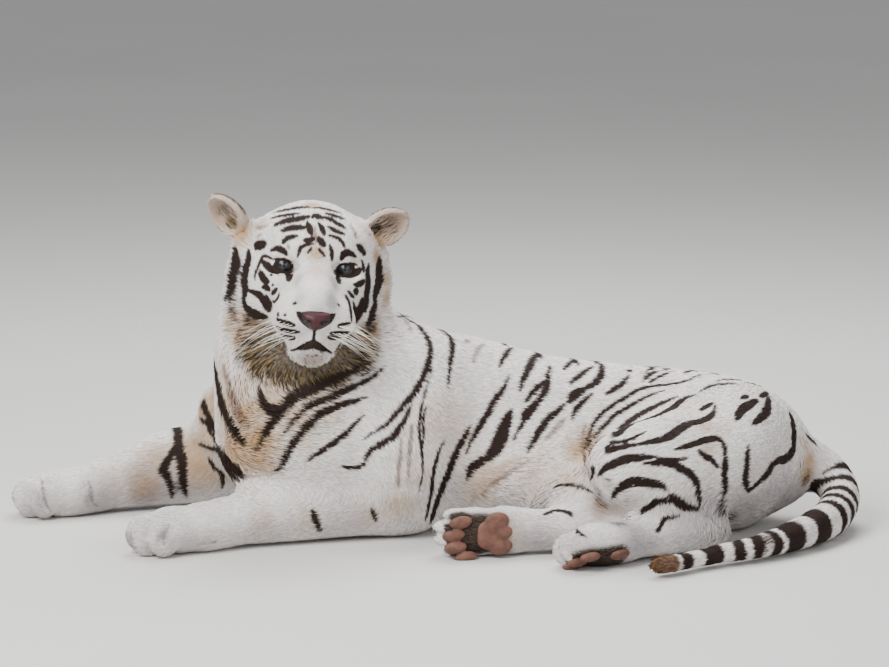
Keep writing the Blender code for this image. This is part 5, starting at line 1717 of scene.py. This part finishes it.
def make_coat(name, chosen):
    """One piece of the coat from the chosen tufts."""
    points = tuft_points[chosen].reshape(-1, 3)
    faces = (np.array(FACES)[None] + np.arange(len(chosen))[:, None, None] * TUFT_SIZE).reshape(-1, 3)
    mesh = bpy.data.meshes.new(name)
    mesh.vertices.add(len(points))
    mesh.vertices.foreach_set("co", points.astype(np.float32).ravel())
    mesh.loops.add(faces.size)
    mesh.loops.foreach_set("vertex_index", faces.astype(np.int32).ravel())
    mesh.polygons.add(len(faces))
    mesh.polygons.foreach_set("loop_start", np.arange(0, faces.size, 3, dtype=np.int32))
    layer = mesh.uv_layers.new(name="OFBake")
    places = (spots[chosen][:, None] + patch_shape[None]).reshape(-1, 2)
    layer.uv.foreach_set("vector", places[faces.ravel()].astype(np.float32).ravel())
    for n, mark in enumerate(MARKS):
        rings = np.stack([values[n][chosen] for values in marks], axis=1)
        write_value(mesh, mark, rings[:, RING_OF_POINT].ravel())
    write_value(mesh, "tone", np.repeat(tones[chosen], TUFT_SIZE))
    write_value(mesh, "along", np.tile(tuft_shares, len(chosen)))
    mesh.update()
    mesh.polygons.foreach_set("use_smooth", np.ones(len(faces), bool))
    own = read(mesh.vertex_normals, "vector")
    facing = unit(own * OWN_FACING + np.repeat(ups[chosen], TUFT_SIZE, axis=0) * SKIN_FACING)
    mesh.normals_split_custom_set_from_vertices(facing)
    mesh.materials.append(coat.material)
    return plain_object(name, mesh)


# The body's pieces follow one another along it.
BODY_PIECES = [
    "coat_forepaws", "coat_breast", "coat_shoulders", "coat_flanks", "coat_haunches", "coat_hips_and_tail",
]
on_head = head_share(roots) + near(in_head(roots), (0, -0.03, -0.03), 0.17, 0.19) > 0.5
heads, others = np.nonzero(on_head)[0], np.nonzero(~on_head)[0]
groups = [("coat_face", heads[: len(heads) // 2]), ("coat_crown", heads[len(heads) // 2 :])]
groups += zip(BODY_PIECES, np.array_split(others, len(BODY_PIECES)))
coat_pieces = [make_coat(name, chosen) for name, chosen in groups]
for piece in coat_pieces:
    print(piece.name, len(piece.data.polygons), "triangles")

# %% [markdown]
# ## Eyes, nose, pads and whiskers
#
# The eyes are glassy balls deep in the head behind the lids. A pale blue-grey ring surrounds the dark
# pupil, and the clear front bulges a little.

# %% Eyes
IRIS_REACH, PUPIL_REACH = radians(20.5), radians(8.0)
CORNEA = 0.0009
IRIS_DARK, IRIS_LIGHT = (0.010, 0.013, 0.016, 1.0), (0.034, 0.042, 0.048, 1.0)
IRIS_INNER, IRIS_EDGE = (0.075, 0.092, 0.090, 1.0), (0.010, 0.010, 0.012, 1.0)
PUPIL, LID_SHADOW = (0.004, 0.004, 0.005, 1.0), (0.005, 0.005, 0.006, 1.0)

glass = Finish("eye_glass", Roughness=0.30, Specular_IOR_Level=0.3, Coat_Weight=0.22, Coat_Roughness=0.05)
turn_away = glass.attribute("turn_away")
rays = glass.noise(160.0, 3.0)
iris_tone = glass.mix(rays, IRIS_DARK, IRIS_LIGHT)
from_pupil = (turn_away + rays * 0.05).rise(PUPIL_REACH, PUPIL_REACH * 1.5)
inner_ring = glass.mix(from_pupil, IRIS_INNER, iris_tone)
eye_colour = glass.mix(turn_away.rise(PUPIL_REACH * 0.93, PUPIL_REACH * 1.1), PUPIL, inner_ring)
eye_colour = glass.mix(turn_away.rise(IRIS_REACH * 0.86, IRIS_REACH), eye_colour, IRIS_EDGE)
eye_colour = glass.mix(glass.attribute("lid_shade"), eye_colour, LID_SHADOW)
glass.feed("Base Color", eye_colour)
GAZE = Vector((0.02, 1.0, 0.04)).normalized()
LID_SHADE, LID_SHADE_DEPTH = 0.85, 0.005
LID_SHADE_FROM = {1: 0.002, -1: -0.001}  # metres above the middle of each eye


def new_ball(name, segments, rings, radius=1.0):
    """A ball round the origin, and the only thing selected."""
    bpy.ops.object.select_all(action="DESELECT")
    bpy.ops.mesh.primitive_uv_sphere_add(segments=segments, ring_count=rings, radius=radius)
    ball = bpy.context.object
    ball.name = name
    return ball


def dress(thing, finish):
    """Makes a thing smooth and gives it its material."""
    thing.data.shade_smooth()
    thing.data.materials.append(finish.material)
    return thing


def make_eye(name, side):
    """A ball whose pole looks along the gaze, with a bulge for the clear front."""
    eye = new_ball(name, 64, 64, EYE_RADIUS)
    points = read_points(eye)
    away = np.arccos(np.clip(points[:, 2] / EYE_RADIUS, -1, 1))
    write_value(eye.data, "turn_away", away)
    shade_from = LID_SHADE_FROM[side]
    lid_shade = LID_SHADE * soft(points[:, 1], shade_from, shade_from + LID_SHADE_DEPTH)
    write_value(eye.data, "lid_shade", lid_shade)
    points *= (1 + CORNEA / EYE_RADIUS * soft(-away, -IRIS_REACH * 1.25, 0))[:, None]
    write_points(eye, points)
    place = head_matrix() @ Matrix.Translation((side * EYE_SIDE, EYE_AHEAD, 0))
    eye.data.transform(place @ GAZE.to_track_quat("Z", "Y").to_matrix().to_4x4())
    return dress(eye, glass)


eyes = [make_eye("eye_right_glass", 1), make_eye("eye_left_glass", -1)]
print("eyes:", ", ".join(eye.name for eye in eyes))

# %% Nose
NOSE_DARK, NOSE_LIGHT = (0.034, 0.0050, 0.0075, 1.0), (0.060, 0.0095, 0.0135, 1.0)
# the leather's black rim, its own colour, and painted shade in the nostrils, slits and groove
RIM_AND_NOSTRIL_SHADE = (0.010, 0.006, 0.006, 1.0)
NOSE_SINK = 0.0012
wet = {"Coat_Weight": 0.06, "Coat_Roughness": 0.3}
leather = Finish("nose_leather", Roughness=0.48, Specular_IOR_Level=0.35, **wet)
nose_colour = leather.mix(leather.noise(150.0), NOSE_DARK, NOSE_LIGHT)
nose_colour = leather.mix(leather.attribute("shade"), nose_colour, RIM_AND_NOSTRIL_SHADE)
leather.feed("Base Color", nose_colour)
leather.bump(leather.pebbles(620.0), 0.5, 0.0006)

nose = new_ball("nose_pad", 128, 96)
x, y, z = read_points(nose).T * (NOSE_RADII - NOSE_SINK)[:, None]
x *= (1 - 0.55 * soft(-z, -0.002, 0.021)) * (1 + 0.30 * soft(z, 0.002, 0.016))
nostril = np.exp(-np.square((np.abs(x) - 0.0125) / 0.0045) - np.square((z + 0.0015) / 0.0036))
slit = np.exp(-np.square((np.abs(x) - 0.0190) / 0.0050) - np.square((z - 0.0010) / 0.0018))
groove = np.exp(-np.square(x / 0.0012)) * soft(-z, -0.004, 0.006)
front = soft(y, 0.004, 0.014)
y = y - front * (0.0065 * nostril + 0.0035 * slit + 0.0014 * groove)
# Black rim of the leather, its own colour; painted shade in nostrils, slits and groove; darker at the bottom.
shade = np.maximum.reduce([
    soft(np.abs(x) - np.maximum(0.0178 + 0.72 * z, 0.0075), -0.0012, 0.0020), soft(nostril, 0.25, 0.6),
    soft(slit, 0.35, 0.7), 0.8 * soft(-z, 0.015, 0.020), 0.7 * groove,
])
write_points(nose, in_world(np.stack([x, y, z], axis=1) + NOSE_PLACE, head_matrix()))
write_value(nose.data, "shade", np.clip(shade, 0, 1))
dress(nose, leather)
print("nose points:", len(nose.data.vertices))

# %% Pads of the soles
PAD_DARK, PAD_LIGHT = (0.090, 0.034, 0.020, 1.0), (0.165, 0.068, 0.044, 1.0)
PAD_DEPTH, PAD_THICK = 0.40, 0.12  # shares of a paw's height
PAD_VOXEL, PAD_ROUNDS = 0.0018, 6
pad_leather = Finish("pad_leather", Roughness=0.60)
pad_tones = pad_leather.noise(60.0, 4.0).rise(0.3, 0.7)
pad_leather.feed("Base Color", pad_leather.mix(pad_tones, PAD_DARK, PAD_LIGHT))
pad_leather.bump(pad_leather.pebbles(500.0), 0.4, 0.0006)


def make_pads(name):
    """Four toe pads and a main pad of three lobes on the sole of a paw."""
    wrist, toes, roll, length, width, height, _ = PAWS[name]
    frame = sole_frame(wrist, toes, roll, length)
    ovals = [(side * 0.98, ahead - TOE_PAD_BACK, 0.128, 0.132) for side, ahead, size in TOES]
    ovals += [(side, ahead, wide * 1.10, long * 1.08) for side, ahead, wide, long in MAIN_PAD]
    balls = []
    for side, ahead, wide, long in ovals:
        centre = Matrix.Translation((side * width, ahead * length, -height * PAD_DEPTH))
        stretch = Matrix.Diagonal((width * wide, length * long, height * PAD_THICK, 1))
        ball = new_ball("lobe", 32, 24)
        ball.data.transform(frame @ centre @ stretch)
        balls.append(ball)
    pads = join(balls, balls[-1])
    pads.name = f"pads_{name}"
    fuse(pads, PAD_VOXEL)
    ease(pads, PAD_ROUNDS)
    keep_off_floor(pads, read_points(pads))
    return dress(pads, pad_leather)


soles = [make_pads(name) for name, numbers in PAWS.items() if numbers[-1]]
print("pads:", ", ".join(sole.name for sole in soles))

# %% Whiskers
WHISKER_DARK, WHISKER_LIGHT = (0.72, 0.68, 0.60, 1.0), (0.85, 0.82, 0.76, 1.0)
WHISKER_SIDES, WHISKER_STEPS = 5, 8
WHISKER_THICK, WHISKER_SINK = 0.00075, 0.002
whisker_hair = Finish("whisker", Roughness=0.4)
whisker_hair.feed("Base Color", whisker_hair.mix(whisker_hair.noise(30.0), WHISKER_DARK, WHISKER_LIGHT))


def whisker(root, way, length, thick, droop):
    """The rings of one thin, drooping hair that ends in a point."""
    side = way.cross(Vector((0, 0, 1))).normalized()
    up = side.cross(way)
    points = []
    for step in range(WHISKER_STEPS + 1):
        t = step / WHISKER_STEPS
        middle = root + way * (length * t) - Vector((0, 0, droop * t * t))
        radius = thick * (1 - 0.9 * t)
        for k in range(WHISKER_SIDES):
            turn = 2 * pi * k / WHISKER_SIDES
            points.append(middle + side * (radius * cos(turn)) + up * (radius * sin(turn)))
    return points


hairs, faces = [], []
for row, (width, *places) in enumerate(WHISKER_ROWS):
    line = smooth_stations(places, 3)
    for n, (a, b) in enumerate(line[:: max(1, len(line) // 4)]):
        spot, normal = throw("head", a, b)
        if spot is None:
            continue
        outward = (0.95 + 0.10 * sin(5.0 * n + row)) * (1 if a > 0 else -1)
        heading = Vector((outward, 0.35 + 0.2 * sin(3.1 * n + 2 * row), -0.22))
        heading = (head_matrix().to_3x3() @ heading).normalized()
        length = 0.062 + 0.030 * (0.5 + 0.5 * sin(7.3 * n + 1.9 * row))
        droop = 0.016 + 0.010 * sin(n + row)
        first = len(hairs)
        hairs += whisker(spot - normal * WHISKER_SINK, heading, length, WHISKER_THICK, droop)
        for ring in range(first, first + WHISKER_STEPS * WHISKER_SIDES, WHISKER_SIDES):
            for k in range(WHISKER_SIDES):
                beside = (k + 1) % WHISKER_SIDES
                next_ring = ring + WHISKER_SIDES
                faces.append((ring + k, ring + beside, next_ring + beside, next_ring + k))
mesh = bpy.data.meshes.new("whiskers")
mesh.from_pydata([tuple(p) for p in hairs], [], faces)
whiskers = dress(plain_object("whiskers", mesh), whisker_hair)
print("whiskers:", len(faces) // (WHISKER_SIDES * WHISKER_STEPS))

# %% [markdown]
# ## Setting it down
#
# Every piece moves to where the solids stand and is tied to the animal's one body. The skin stands for
# all the nodes of flesh.

# %% Place, tie and replace
pieces = [skin, *coat_pieces, *eyes, nose, *soles, whiskers]
for piece in pieces:
    piece.data.transform(Matrix.Translation(SET_DOWN))
    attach(piece, "root")
for eye, node in zip(eyes, ("eye_right", "eye_left")):
    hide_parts(node)
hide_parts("nose")
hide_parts(*FLESH)
